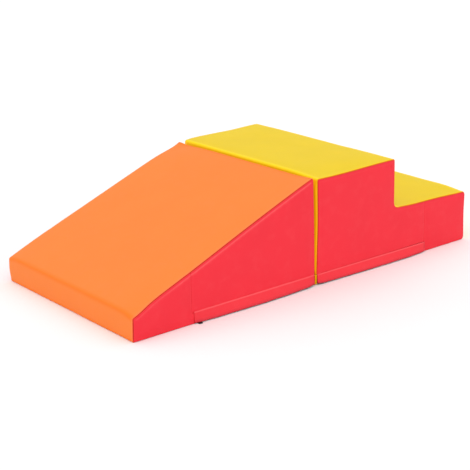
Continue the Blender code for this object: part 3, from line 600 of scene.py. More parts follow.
def outline_edges(corners, kinds):
    """The panel's outline at its lip: short edges with the directions inwards at both ends."""
    count = len(corners)
    points = [Vector(corner[:2]) for corner in corners]
    along = [(points[(i + 1) % count] - points[i]).normalized() for i in range(count)]
    inward = [-left_of(direction) for direction in along]
    inset = [LIP_REACH[kind] for kind in kinds]
    moved = [points[i] + inward[i] * inset[i] for i in range(count)]
    places = []
    for i in range(count):
        share = cross(moved[i] - moved[i - 1], along[i]) / cross(along[i - 1], along[i])
        places.append(moved[i - 1] + along[i - 1] * share)
    arcs = []
    for i, corner in enumerate(corners):
        convex = 1 if cross(along[i - 1], along[i]) < 0 else -1
        radius = corner[2] - convex * inset[i] if corner[2] else 0
        if radius <= SHARPEST:
            arcs.append([(places[i], inward[i - 1]), (places[i], inward[i])])
            continue
        angle = math.acos(max(-1, min(1, along[i - 1].dot(along[i]))))
        begin = places[i] - along[i - 1] * radius * math.tan(angle / 2)
        out = left_of(along[i - 1])
        centre = begin - out * radius * convex
        ways = [turned(out, -convex * angle * k / ARC_STEPS) for k in range(ARC_STEPS + 1)]
        arcs.append([(centre + way * radius * convex, -way) for way in ways])
    edges = []
    for i in range(count):
        arc = arcs[i]
        if arc[0][0] != arc[-1][0]:
            for before, after in zip(arc, arc[1:]):
                edges.append(Edge(before[0], after[0], before[1], after[1], kinds[i]))
        after = arcs[(i + 1) % count]
        edges.append(Edge(arc[-1][0], after[0][0], inward[i], inward[i], kinds[i]))
    return edges


def distance_to(point, edge):
    """Distance to the edge, the nearest place on it, and how far along that is, as a share."""
    along = edge.end - edge.start
    share = max(0, min(1, (point - edge.start).dot(along) / along.length_squared))
    nearest = edge.start + along * share
    return (point - nearest).length, nearest, share


def near_edge(point, edges):
    """(distance, nearest place, how far the edge faces up) by kind of edge."""
    found = {kind: (FAR, point, 0.0) for kind in SECTIONS}
    for edge in edges:
        distance, nearest, share = distance_to(point, edge)
        if distance < found[edge.kind][0]:
            up = -edge.start_in.lerp(edge.end_in, share).normalized().y
            found[edge.kind] = (distance, nearest, max(up, 0.0) ** 2)
    return found


def lip_moves(point, edges):
    """Each edge's own way inwards at a point on the outline, once."""
    moves = []
    for edge in edges:
        distance, _, share = distance_to(point, edge)
        way = edge.start_in.lerp(edge.end_in, share).normalized()
        if distance <= TOUCHING and all(way.dot(other) <= SAME_WAY for _, other in moves):
            moves.append((edge.kind, way))
    return moves


def filled_outline(corners, edges):
    """A flat mesh that fills the outline, cut finely beside its edges and evenly elsewhere."""
    bm = bmesh.new()
    bm.faces.new([bm.verts.new((edge.start.x, edge.start.y, 0)) for edge in edges])
    for i, corner in enumerate(corners):
        start, end = Vector(corner[:2]), Vector(corners[(i + 1) % len(corners)][:2])
        way = -left_of((end - start).normalized())
        for reach in FINE_CUTS:
            cut(bm, start + way * reach, way)
    slice_evenly(bm, *extremes(corners), RUN_STEP)
    return bm


def side_panel(module, name, side, corners, kinds, material, seed, sheet):
    edges = outline_edges(corners, kinds)
    bm = filled_outline(corners, edges)
    low, _ = extremes(corners)
    marks, places = {}, {}
    for vertex in bm.verts:
        flat = Vector(vertex.co[:2])
        found = near_edge(flat, edges)
        to_arris, arris_key, up = found["arris"]
        to_flat, flat_key, _ = found["flat"]
        drop = max(arris_drop(to_arris + LIP_REACH["arris"]), flat_drop(to_flat + LIP_REACH["flat"]))
        nearest = min(to_arris, to_flat)
        swelling = swell(nearest)
        if sheet:
            swelling = sheet.share_at(flat.x - low[0], flat.y - low[1]) * settle(nearest, SWELL_START)
        rise = SIDE_CROWN * swelling
        rise += wobble((flat.x, side, flat.y), seed) * settle(nearest, WOBBLE_FROM_EDGE)
        rise += pucker((arris_key.x, arris_key.y, side), to_arris, seed + 4)
        rise += pucker((flat_key.x, flat_key.y, side * 2), to_flat, seed + 5, SIDE_SEAM_PUCKER)
        places[vertex] = (flat, drop, rise)
        # Painted highlight on the rolled edges that face up towards the light, weaker towards the low end, and beside
        # the flat seams
        top_highlight = module.edge_wear * (1 - LOW_HIGHLIGHT * settle(flat.x - LOW_HIGHLIGHT_START, LOW_HIGHLIGHT_WIDTH))
        top_highlight = top_highlight * up * bell(to_arris - EDGE_PALE, PALE_WIDTH)
        seam_wear = module.seam_wear * bell(to_flat - SEAM_PALE, PALE_WIDTH)
        marks[vertex] = (max(top_highlight, seam_wear), 0.0, 0.0)
    roll_down(bm, edges, places, marks)
    for vertex, (flat, drop, rise) in places.items():
        height = flat.y - FOOT_DROP * max(1 - flat.y / FOOT_REACH, 0)
        vertex.co = (x_at(module, flat.x), side * (WIDTH / 2 - drop + rise), height)
    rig.padded(sewn_piece(module, name, "cover", bm, material, marks), fill=0.95)


def roll_down(bm, edges, places, marks):
    """Rows of faces from a flat panel's lip down into its grooves."""
    ring = [edge for edge in bm.edges if len(edge.link_faces) == 1]
    lip = {vertex for edge in ring for vertex in edge.verts}
    moves = {vertex: lip_moves(places[vertex][0], edges) for vertex in lip}
    before = {vertex: vertex for vertex in lip}
    for row in range(LIP - 1, -1, -1):
        after = {}
        for vertex in lip:
            flat, drop, rise = places[vertex]
            here, depth, groove = flat.copy(), drop, 0
            for kind, way in moves[vertex]:
                reach, low = SECTIONS[kind][row]
                here += way * (reach - LIP_REACH[kind])
                depth = max(depth, low)
                if kind == "arris":
                    groove = GROOVE_SHADES[row]
            after[vertex] = bm.verts.new((0, 0, 0))
            places[after[vertex]] = (here, depth, rise * GROOVE_RISE)
            # The groove rows keep most of the painted highlight, and the arris groove takes painted shade
            marks[after[vertex]] = (marks[vertex][0] * GROOVE_HIGHLIGHT, 0.0, groove)
        for edge in ring:
            a, b = edge.verts
            bm.faces.new((before[a], before[b], after[b], after[a]))
        before = after


def panel_outlines(module):
    """Corners and kinds of edge of a module's side panel and end panel."""
    before = max(i for i, corner in enumerate(module.profile) if corner[0] <= module.seam)
    (u0, z0, _), (u1, z1, _) = module.profile[before : before + 2]
    top = (module.seam, lerp(z0, z1, (module.seam - u0) / (u1 - u0)), 0)
    bottom = (module.seam, FLAP_TOP, 0)
    main = [FLAP_CORNER, *module.profile[1 : before + 1], top, bottom]
    step = [(tab_end(module), FLAP_TOP, 0), bottom] if module.tab else []
    low = [(tab_end(module), 0, 0), *step, top, *module.profile[before + 1 :]]
    main_kinds = ["arris"] * (len(main) - 2) + ["flat"] * 2
    low_kinds = ["flat"] * (len(step) + 1) + ["arris"] * (len(low) - len(step) - 1)
    return {"side_panel": (main, main_kinds), "end_panel": (low, low_kinds)}


def side_panels(module, material):
    for kind, (corners, kinds) in panel_outlines(module).items():
        for side, where in SIDES:
            seed = 20 + 3 * side + 11 * (module.side > 0) + 40 * (kind == "end_panel")
            sheet = SHEETS[module.name].get(kind)
            side_panel(module, f"{where}_{kind}", side, corners, kinds, material, seed, sheet)


# Materials
class Look:
    """A material in the making, whose textures lie in the object's own coordinates."""

    def __init__(self, name):
        self.material = bpy.data.materials.new(name)
        self.material.use_nodes = True
        self.tree = self.material.node_tree
        self.shader = self.tree.nodes["Principled BSDF"]

    def put(self, node, inputs):
        """Links inputs of a node to sockets, or sets them to numbers or colours."""
        for name, value in (inputs or {}).items():
            socket = node.inputs[name] if isinstance(name, (str, int)) else name
            if isinstance(value, bpy.types.NodeSocket):
                self.tree.links.new(value, socket)
            else:
                socket.default_value = (*value, 1) if isinstance(value, tuple) else value
        return node

    def node(self, kind, inputs=None):
        return self.put(self.tree.nodes.new(f"ShaderNode{kind}"), inputs)

    def texture(self, kind, inputs):
        where = self.node("TexCoord").outputs["Object"]
        return self.node(f"Tex{kind}", {"Vector": where, **inputs})

    def noise(self, scale, detail=2.0, rough=0.5):
        return self.texture("Noise", {"Scale": scale, "Detail": detail, "Roughness": rough}).outputs["Fac"]

    def cells(self, scale):
        return self.texture("Voronoi", {"Scale": scale}).outputs["Distance"]

    def ranged(self, value, low, high, start=0.0, end=1.0):
        """Runs from low to high as the value runs from start to end."""
        inputs = {"From Min": start, "From Max": end, "To Min": low, "To Max": high, "Value": value}
        return self.node("MapRange", inputs).outputs["Result"]

    def mixed(self, factor, first, second):
        """Runs from the first colour to the second as the factor runs from 0 to 1."""
        node = self.node("Mix")
        node.data_type = "RGBA"
        a, b = (next(s for s in node.inputs if s.name == name and s.type == "RGBA") for name in "AB")
        self.put(node, {"Factor": factor, a: first, b: second})
        return next(s for s in node.outputs if s.type == "RGBA")

    def larger(self, first, second):
        node = self.node("Math", {0: first, 1: second})
        node.operation = "MAXIMUM"
        return node.outputs[0]

    def finish(self, inputs, *bumps):
        """The material, with stacked bumps of (height, distance in metres, strength)."""
        self.put(self.shader, inputs)
        below = {}
        for height, distance, strength in bumps:
            node = self.node("Bump", {"Distance": distance, "Strength": strength, "Height": height, **below})
            below = {"Normal": node.outputs["Normal"]}
        self.put(self.shader, below)
        return self.material


def scaled(colour, share):
    return tuple(min(value * share, 1.0) for value in colour)


def leather(name, colour, worn_and_edge_lit, bend_shading, painted_shade, gloss=0.16):
    """Soft PU leather: pebbled grain, uneven tone with faint worn clouds, painted edge light, painted light and shade
    at bends, and painted shade in seams.
    """
    look = Look(name)
    grain, fine = look.cells(1150), look.noise(2600)
    tone = look.mixed(look.ranged(look.noise(9, 3.0), 0.0, 1.0, 0.35, 0.65), scaled(colour, 0.975), colour)
    tone = look.mixed(look.ranged(look.noise(38, 3.0), 0.0, 0.08, 0.50, 0.75), tone, worn_and_edge_lit)
    # The vertex marks paint light and shade: edge light, light and shade at bends, shade in seams
    for kind, other, most in (("fold", bend_shading, 0.9), ("wear", worn_and_edge_lit, 0.9), ("seam", painted_shade, 1.0)):
        mark = look.node("Attribute")
        mark.attribute_name = kind
        tone = look.mixed(look.ranged(mark.outputs["Fac"], 0.0, most), tone, other)
    matt = look.ranged(fine, 0.46, 0.60, 0.3, 0.7)
    inputs = {"Base Color": tone, "Roughness": matt, "Specular IOR Level": gloss}
    return look.finish(inputs, (grain, 0.00010, 0.35), (fine, 0.00004, 0.4))


WAVE_PERIOD = 0.314  # metres from band to band of a wave texture whose scale is 1


def cloth(name, colour, pitch, depth, roughness=0.9):
    """A plain weave of that pitch."""
    look = Look(name)
    waves = []
    for direction in ("X", "Z"):
        wave = look.texture("Wave", {"Scale": WAVE_PERIOD / pitch, "Distortion": 0.4})
        wave.bands_direction = direction
        waves.append(wave.outputs["Fac"])
    weave = look.larger(*waves)
    tone = look.mixed(look.ranged(weave, 0.0, 1.0), scaled(colour, 0.55), colour)
    tone = look.mixed(look.ranged(look.noise(60, 3.0), 0.0, 0.35, 0.4, 0.7), tone, scaled(colour, 1.5))
    inputs = {"Base Color": tone, "Roughness": roughness, "Sheen Weight": 0.25}
    return look.finish(inputs, (weave, depth, 0.6))


def foam(name, colour):
    look = Look(name)
    tone = look.mixed(look.ranged(look.noise(14, 3.0), 0.0, 1.0, 0.35, 0.65), scaled(colour, 0.9), colour)
    return look.finish({"Base Color": tone, "Roughness": 0.95}, (look.cells(900), 0.0004, 0.8))


def moulded(name, colour):
    look = Look(name)
    fine = look.noise(1800, 3.0)
    tone = look.mixed(look.ranged(look.noise(120), 0.0, 0.5, 0.3, 0.7), colour, scaled(colour, 1.9))
    return look.finish({"Base Color": tone, "Roughness": look.ranged(fine, 0.37, 0.57)}, (fine, 0.00003, 0.5))


def metal(name, colour):
    look = Look(name)
    scratch = look.noise(3200, 4.0, rough=0.7)
    tone = look.mixed(look.ranged(scratch, 0.0, 1.0, 0.3, 0.7), scaled(colour, 0.8), colour)
    inputs = {"Base Color": tone, "Roughness": look.ranged(scratch, 0.22, 0.42), "Metallic": 1.0}
    return look.finish(inputs, (scratch, 0.00002, 0.3))


# Each leather's plain colour, its worn colour that is also its painted edge light, its painted light and shade at
# bends, and its painted shade in seams
ORANGE = leather(
    "orange_pu_leather", (1.0, 0.243, 0.038),
    worn_and_edge_lit=(1.0, 0.26, 0.100), bend_shading=(1.0, 0.205, 0.014), painted_shade=(0.90, 0.085, 0.035),
)
RED = leather(
    "red_pu_leather", (0.925, 0.032, 0.052),
    worn_and_edge_lit=(1.0, 0.125, 0.135), bend_shading=(0.95, 0.03, 0.05), painted_shade=(0.85, 0.045, 0.035),
)
# The flaps' red is paler than the panels' red: painted light on the flaps, which tilt up towards the light; its seam
# colour is painted shade along the hem and the free end
FLAP_RED = leather(
    "red_flap_leather", (0.93, 0.043, 0.060),
    worn_and_edge_lit=(1.0, 0.135, 0.150), bend_shading=(0.95, 0.03, 0.05), painted_shade=(0.5, 0.035, 0.048),
)
YELLOW = leather(
    "yellow_pu_leather", (0.86, 0.61, 0.004),
    worn_and_edge_lit=(1.0, 0.60, 0.003), bend_shading=(1.0, 0.72, 0.003), painted_shade=(0.90, 0.24, 0.02), gloss=0.13,
)
THREADS = leather("red_thread", (0.95, 0.055, 0.075), *[(1.0, 0.10, 0.12)] * 3)
BLACK_TAPE = cloth("black_zip_tape", (0.012, 0.011, 0.012), pitch=0.0006, depth=0.0001)
BLACK_PLASTIC = moulded("black_moulded_plastic", (0.012, 0.010, 0.012))
ANTI_SLIP = cloth("charcoal_base_cloth", (0.035, 0.035, 0.04), pitch=0.0011, depth=0.0002)
FOAM = foam("cut_foam", (0.84, 0.80, 0.70))
STEEL = metal("pressed_steel", (0.55, 0.56, 0.58))
STRIP_CLOTH = cloth("hook_and_loop_tape", (0.014, 0.013, 0.014), pitch=0.0016, depth=0.0005, roughness=0.95)


# The two modules
def module_path(module):
    return Path([FLAP_CORNER, *module.profile[1:], (0, 0, 0)], module.crowns)


RAMP = Module(
    name="ramp", side=-1,
    profile=[
        (0, 0, 0),
        (JOINT_LEAN, HEIGHT, RAMP_RIDGE),
        (MODULE_LENGTH, NOSE_HEIGHT, NOSE_RADIUS),
        (MODULE_LENGTH, 0, RAMP_FOOT),
    ],
    crowns=(JOINT_CROWN, TOP_CROWN, SIDE_CROWN, 0),
    seam=RAMP_SEAM, tab=RAMP_TAB, joint_round=0.0025, strip="hook",
    edge_wear=1.0, seam_wear=0.06, end_shade=0.0,
    flap_shift=0.0004, flare_peak=0.45, laps=(0.0045, 0.0045), hem_rises=(0.0016, 0.0022),
)
BLOCK = Module(
    name="block", side=1,
    profile=[
        (0, 0, 0),
        (JOINT_LEAN, HEIGHT, BLOCK_RIDGE),
        (DECK_LENGTH, HEIGHT, DECK_RADIUS),
        (DECK_LENGTH, STEP_HEIGHT, NOTCH_RADIUS),
        (MODULE_LENGTH, STEP_HEIGHT, STEP_RADIUS),
        (MODULE_LENGTH, 0, BLOCK_FOOT),
    ],
    crowns=(JOINT_CROWN, TOP_CROWN, SIDE_CROWN, TOP_CROWN, SIDE_CROWN, 0),
    seam=BLOCK_SEAM, tab=0, joint_round=0.0040, strip="loop",
    edge_wear=0.08, seam_wear=0.10, end_shade=0.40,
    flap_shift=-0.0014, flare_peak=0.76, laps=(0.0025, 0.0005), hem_rises=(0.0016, 0.0012),
)
MODULES = (RAMP, BLOCK)


# Cloth: each face of a cover is a sheet that is held along its edges while the foam pushes it out
SHEET_STEP, SHEET_FRAMES, SHEET_PRESSURE, FIRMNESS = 0.018, 20, 0.6, 4.0


def within(x, y, corners):
    """Whether a place lies inside an outline."""
    found = False
    for (x0, y0, _), (x1, y1, _) in zip(corners, corners[1:] + corners[:1]):
        found ^= (y0 > y) != (y1 > y) and x < lerp(x0, x1, (y - y0) / (y1 - y0))
    return found


class Sheet:
    """A sheet of cloth of that width and length, or one cut to an outline."""

    def __init__(self, width, length, corners=None):
        self.columns, self.rows = spread(0, width, SHEET_STEP), spread(0, length, SHEET_STEP)
        self.corners = corners
        self.peak = swell(min(width, length) / 2)
        self.heights = []

    def held(self, column, row):
        if column in (0, len(self.columns) - 1) or row in (0, len(self.rows) - 1):
            return True
        return bool(self.corners) and not within(self.columns[column], self.rows[row], self.corners)

    def lay(self):
        """The sheet as an object with the cloth on it."""
        across, along = len(self.columns), len(self.rows)
        bm, _ = grid_mesh(across, along, lambda column, row: (self.columns[column], self.rows[row], 0))
        self.cloth = linked("sheet", mesh_of("sheet", bm))
        held = [place for place in range(across * along) if self.held(*divmod(place, along))]
        self.cloth.vertex_groups.new(name="held").add(held, 1.0, "REPLACE")
        settings = self.cloth.modifiers.new("cloth", "CLOTH").settings
        settings.quality = 5
        settings.mass = 0.3
        settings.air_damping = 4
        settings.tension_stiffness = settings.compression_stiffness = 15
        settings.bending_stiffness = 0.5
        settings.vertex_group_mass = "held"
        settings.use_pressure = True
        settings.uniform_pressure_force = SHEET_PRESSURE
        settings.effector_weights.gravity = 0

    def take(self, depsgraph):
        """Reads the heights that the cloth has reached, and clears the object away."""
        posed = self.cloth.evaluated_get(depsgraph)
        self.heights = [abs(vertex.co.z) for vertex in posed.data.vertices]
        bpy.data.meshes.remove(self.cloth.data)

    def share_at(self, x, y):
        """How far the cloth stands out there; the foam lets go of it towards its peak."""
        places = []
        for value, stops in ((x, self.columns), (y, self.rows)):
            place = min(max(value / stops[-1], 0), 1) * (len(stops) - 1)
            whole = min(int(place), len(stops) - 2)
            places.append((whole, place - whole))
        (column, over), (row, up) = places
        along = len(self.rows)
        first = column * along + row
        near = lerp(self.heights[first], self.heights[first + 1], up)
        far = lerp(self.heights[first + along], self.heights[first + along + 1], up)
        push = FIRMNESS * lerp(near, far, over) / max(self.heights)
        return self.peak * (1 - math.exp(-push)) / (1 - math.exp(-FIRMNESS))


def push_out(sheets):
    """Runs the cloth of all sheets at once."""
    scene = bpy.context.scene
    for sheet in sheets:
        sheet.lay()
    for number in range(1, SHEET_FRAMES + 1):
        scene.frame_set(number)
    depsgraph = bpy.context.evaluated_depsgraph_get()
    for sheet in sheets:
        sheet.take(depsgraph)
    scene.frame_set(1)


def cover_sheets():
    """Each module's sheets: those of its bands by run, those of its sides by panel."""
    found = {}
    for module in MODULES:
        sheets = found[module.name] = {}
        for index, piece in enumerate(module_path(module).pieces):
            if isinstance(piece, Run) and piece.crown:
                sheets[index] = Sheet(WIDTH, piece.length)
        for kind, (corners, _) in panel_outlines(module).items():
            low, high = extremes(corners)
            moved = [(corner[0] - low[0], corner[1] - low[1], 0) for corner in corners]
            sheets[kind] = Sheet(high[0] - low[0], high[1] - low[1], moved)
    push_out([sheet for sheets in found.values() for sheet in sheets.values()])
    return found


SHEETS = {"ramp": {}, "block": {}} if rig.quick() else cover_sheets()


BAND_END = 5 / 6  # how far round the foot a band goes


def bands(module, names, seam_arc, seam_share, material, seed):
    """The module's two bands, sewn together at a share of one of the profile's arcs."""
    path = module_path(module)
    path.sheets = SHEETS[module.name]
    arcs = [piece for piece in path.pieces if isinstance(piece, Arc)]
    seam = arcs[seam_arc].begin + arcs[seam_arc].length * seam_share
    foot = arcs[-1].begin + arcs[-1].length * BAND_END
    band(module, path, names[0], 0, seam, (True, True), material, seed)
    band(module, path, names[1], seam, foot, (True, False), material, seed + 1)


bands(RAMP, ("joint_panel", "slope_panel"), 0, 0, ORANGE, 1)
bands(BLOCK, ("deck_panel", "tread_panel"), 2, 0.5, YELLOW, 3)
for module in MODULES:
    side_panels(module, RED)


# Side flaps: a hanging strip with a doubled, stitched hem
HEM_FOLD, HEM_HALF, HEM_TURN = 0.010, 0.001, ((0.0005, 2), (0, 1.6), (-0.0003, 1))
HEM_TURN_END, TOP_TURN = 0.0006, 0.0002
STITCH_DROP, STITCH_START, STITCH_PITCH, STITCH_LENGTH = 0.008, 0.002, 0.0038, 0.0026
FLAP_STEP, ROW_STEP, HIDDEN_ROW_STEP, HEM_STEPS = 0.0035, 0.0018, 0.004, 8

# The cloth bends over a short reach below its seam, and has finer rows there
FOLD_REACH, BEND_END, BEND_STEP = 0.0032, 0.0090, 0.0009

# How the cloth stands out at its seam, laps at its end, ripples and waves
FLARE_CURVE, PEAK_CURVE = 1.2, 0.65
LAP_OUT, LAP_WIDTH, END_LAP = 0.0009, 0.007, 0.0024
RIPPLE, RIPPLE_COUNT = 0.0012, 9
END_WAVE, END_WAVE_REACH, END_WAVE_LENGTH = 0.0009, 0.05, 0.0075
HEM_WAVE, HEM_WAVE_COUNT = 0.0006, 6
SHORT_RISE_REACH, LONG_RISE_REACH = 0.018, 0.09

# Painted light: a painted highlight line below the seam, painted shade along the hem and at the free end
TOP_PALE, TOP_PALE_DROP, TOP_PALE_WIDTH = 0.85, 0.0022, 0.0014
HEM_SHADE, SHADE_WIDTH = 0.65, 0.0045


def flare_share(module, share):
    peak = module.flare_peak
    turn = share / peak / 2 if share < peak else (1 + (share - peak) / (1 - peak)) / 2
    return math.sin(math.pi * min(max(turn, 0), 1)) ** PEAK_CURVE


def flap_point(module, share, drop, seed):
    """Outward distance from the side's plane and height of the flap's outside face."""
    down = drop / FLAP_DROP
    away = share * tab_end(module)
    free = min(share, 1 - share) * tab_end(module)
    flare = FLARE_END + (FLARE_MIDDLE - FLARE_END) * flare_share(module, share)
    ripple = RIPPLE * noise_at((share * RIPPLE_COUNT, 0, 0), 1.0, seed)
    ripple += END_WAVE * math.exp(-free / END_WAVE_REACH) * math.sin(free / END_WAVE_LENGTH + seed)
    out = flare * down**FLARE_CURVE + ripple * down + LAP_OUT * bell(drop, LAP_WIDTH)
    out += pucker((away, 0, 0), drop, seed + 3, FLAP_PUCKER)
    lap = lerp(*module.laps, share) * (1 - down)
    height = FLAP_TOP + lap - drop
    height += HEM_WAVE * down * noise_at((share * HEM_WAVE_COUNT, 1, 0), 1.0, seed + 5)
    short, long = module.hem_rises
    rise = short * bell(away, SHORT_RISE_REACH) + long * math.exp(-away / LONG_RISE_REACH)
    return out, height + rise * down**2


def flap_section():
    """Closed section as (drop, depth behind the outside face)."""
    top = ROLL + ROLL_GAP
    fold = FLAP_DROP - HEM_FOLD
    bend = spread(top, BEND_END, BEND_STEP)
    outside = bend[1:] + spread(BEND_END, FLAP_DROP - HEM_HALF, ROW_STEP)[1:-1]
    inside = bend[1:] + spread(BEND_END, fold - HEM_TURN_END, HIDDEN_ROW_STEP)[1:]
    return [
        *roll((top, ROLL), ROLL, math.pi / 2, 0),
        *((drop, 0.0) for drop in outside),
        *roll((FLAP_DROP - HEM_HALF, HEM_HALF), HEM_HALF, 0, -math.pi, HEM_STEPS),
        *((fold + shift, share * HEM_HALF) for shift, share in HEM_TURN),
        *((drop, HEM_HALF) for drop in inside[::-1]),
        (top, HEM_HALF + TOP_TURN),
    ]


THREAD, THREAD_SIDES, THREAD_LIFT, THREAD_DIP = 0.00032, 6, 0.35, 1.1
THREAD_WIDTHS = ((0.0, 0.25), (0.12, 0.85), (0.5, 1.0), (0.88, 0.85), (1.0, 0.25))


def thread_row(name, places, body, material):
    """Stitches: a short thread for each (start, end, outward), which dips into the cloth at both ends."""
    bm = bmesh.new()
    for start, end, out in places:
        along = (end - start).normalized()
        across = along.cross(out).normalized()
        up = across.cross(along)
        rings = []
        for share, width in THREAD_WIDTHS:
            lift = THREAD * (THREAD_LIFT - THREAD_DIP * (2 * share - 1) ** 4)
            centre = start.lerp(end, share) + out * lift
            turns = [2 * math.pi * k / THREAD_SIDES for k in range(THREAD_SIDES)]
            ways = [across * math.cos(turn) + up * math.sin(turn) for turn in turns]
            rings.append([bm.verts.new(centre + way * THREAD * width) for way in ways])
        loft(bm, rings)
    bmesh.ops.recalc_face_normals(bm, faces=bm.faces[:])
    return add_object(name, bm, body, material)


def side_flap(module, side, where, material, seed):
    section = flap_section()
    start = FLAP_CORNER_GAP + module.flap_shift
    end = tab_end(module) + END_LAP
    length = end - start
    shares = [(u - start) / length for u in spread(start, end, FLAP_STEP)]

    def surface(share, drop, depth=0.0):
        out, height = flap_point(module, share, drop, seed)
        return Vector((x_at(module, lerp(start, end, share)), side * (WIDTH / 2 + out - depth), height))

    bm = bmesh.new()
    rings = [[bm.verts.new(surface(share, drop, depth)) for drop, depth in section] for share in shares]
    marks = {}
    lowest = max(drop for drop, _ in section)
    for share, ring in zip(shares, rings):
        # Painted highlight below the seam, painted shade along the hem and at the free end
        dark = module.end_shade * bell((1 - share) * length, SHADE_WIDTH)
        for vertex, (drop, _) in zip(ring, section):
            pale = TOP_PALE * bell(drop - TOP_PALE_DROP, TOP_PALE_WIDTH)
            marks[vertex] = (pale, 0.0, max(HEM_SHADE * bell(lowest - drop, SHADE_WIDTH), dark))
    loft(bm, rings)
    bmesh.ops.recalc_face_normals(bm, faces=bm.faces[:])
    node = f"{module.name}_{where}_flap"
    flap = stand_for(add_object(f"{node}_cloth", bm, None, material, marks), node)
    row = FLAP_HEIGHT - STITCH_DROP
    places = []
    for k in range(int((length - 2 * STITCH_START) / STITCH_PITCH)):
        u = STITCH_START + k * STITCH_PITCH
        first, last = (surface((u + shift) / length, row) for shift in (0, STITCH_LENGTH))
        below = surface(u / length, row + HEM_HALF)
        out = (last - first).cross(below - first).normalized()
        places.append((first, last, -out if out.y * side < 0 else out))
    stitches = thread_row(f"{node}_stitches", places, node, THREADS)
    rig.sheet(
        flap,
        flat=(FLAP_HEIGHT + HEM_FOLD, length),
        held="hung",
        rests_on=[f"{module.name}_{where}_side_panel"],
        with_pieces=[stitches],
    )


for module in MODULES:
    for side, where in SIDES:
        side_flap(module, side, where, FLAP_RED, 60 + 5 * side + 13 * module.side)


# Flaps on the joint faces
JOINT_FLAP_STEP, JOINT_FLAP_SINK = 0.010, 0.9
JOINT_FLAP_ROWS = (0.0002, 0.0008, 0.0016, 0.003, 0.006, 0.010, 0.015, 0.020, FLAP_DROP - 0.001, FLAP_DROP)


def joint_flap(module, material):
    half = WIDTH / 2 - JOINT_FLAP_INSET
    ys = spread(-half, half, JOINT_FLAP_STEP)

    def place(column, row):
        drop = JOINT_FLAP_ROWS[row]
        z = FLAP_TOP - CLEARANCE / 2 - drop
        return Vector((x_at(module, lean_at(z) + flat_drop(drop + ROLL) * JOINT_FLAP_SINK), ys[column], z))

    # Painted light over the whole joint flap, as at bends
    bm, marks = grid_mesh(len(ys), len(JOINT_FLAP_ROWS), place, lambda column, row: (0.0, 1.0, 0.0))
    obj = sewn_piece(module, "joint_flap", "cloth", bm, material, marks)
    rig.sheet(obj, flat=(FLAP_DROP, 2 * half), held="hung", rests_on=[f"{module.name}_foam_core"])


joint_flap(RAMP, ORANGE)
joint_flap(BLOCK, YELLOW)


# Finer copies of the hidden soft solids; the sides of some are kept back inside the covers' grooves
COPY_STEP, FOAM_BACK, BASE_BACK, SIDE_DEPTH = 0.030, 0.0030, 0.0035, 0.002
FLAT_ANGLE, BEVEL_ANGLE, SHARP_ANGLE = 0.5, 35, 40


def finer_copy(node, name, material, body, bevel, back=0.0):
    """A copy of a node's mesh with rounded edges, which stands for it."""
    bm = bmesh.new()
    bm.from_mesh(frame["nodes"][node].data)
    bmesh.ops.remove_doubles(bm, verts=bm.verts[:], dist=TINY)
    flat = math.radians(FLAT_ANGLE)
    bmesh.ops.dissolve_limit(bm, angle_limit=flat, verts=bm.verts[:], edges=bm.edges[:])
    low, high = extremes([vertex.co for vertex in bm.verts], 3)
    for vertex in bm.verts:
        if min(vertex.co.y - low[1], high[1] - vertex.co.y) < SIDE_DEPTH:
            vertex.co.y -= math.copysign(back, vertex.co.y)
    slice_evenly(bm, low, high, COPY_STEP)
    obj = add_object(name, bm, body, material)
    modifier = obj.modifiers.new("edges", "BEVEL")
    modifier.width = bevel
    modifier.segments = 2
    modifier.angle_limit = math.radians(BEVEL_ANGLE)
    obj.data.set_sharp_from_angle(angle=math.radians(SHARP_ANGLE))
    return stand_for(obj, node)


for module in MODULES:
    name = module.name
    core = finer_copy(f"{name}_foam_core", f"{name}_foam", FOAM, name, bevel=0.0012, back=FOAM_BACK)
    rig.padded(core, fill=1.0)
    finer_copy(f"{name}_base_panel", f"{name}_base_cloth", ANTI_SLIP, name, bevel=0.0004, back=BASE_BACK)
    for half in ("upper", "lower"):
        node = f"{name}_zip_{half}_tape"
        finer_copy(node, f"{node}_cloth", BLACK_TAPE, name, bevel=0.0001)
    for _, where in SIDES:
        node = f"{name}_{where}_{module.strip}_strip"
        finer_copy(node, f"{node}_tape", STRIP_CLOTH, name, bevel=0.0002)


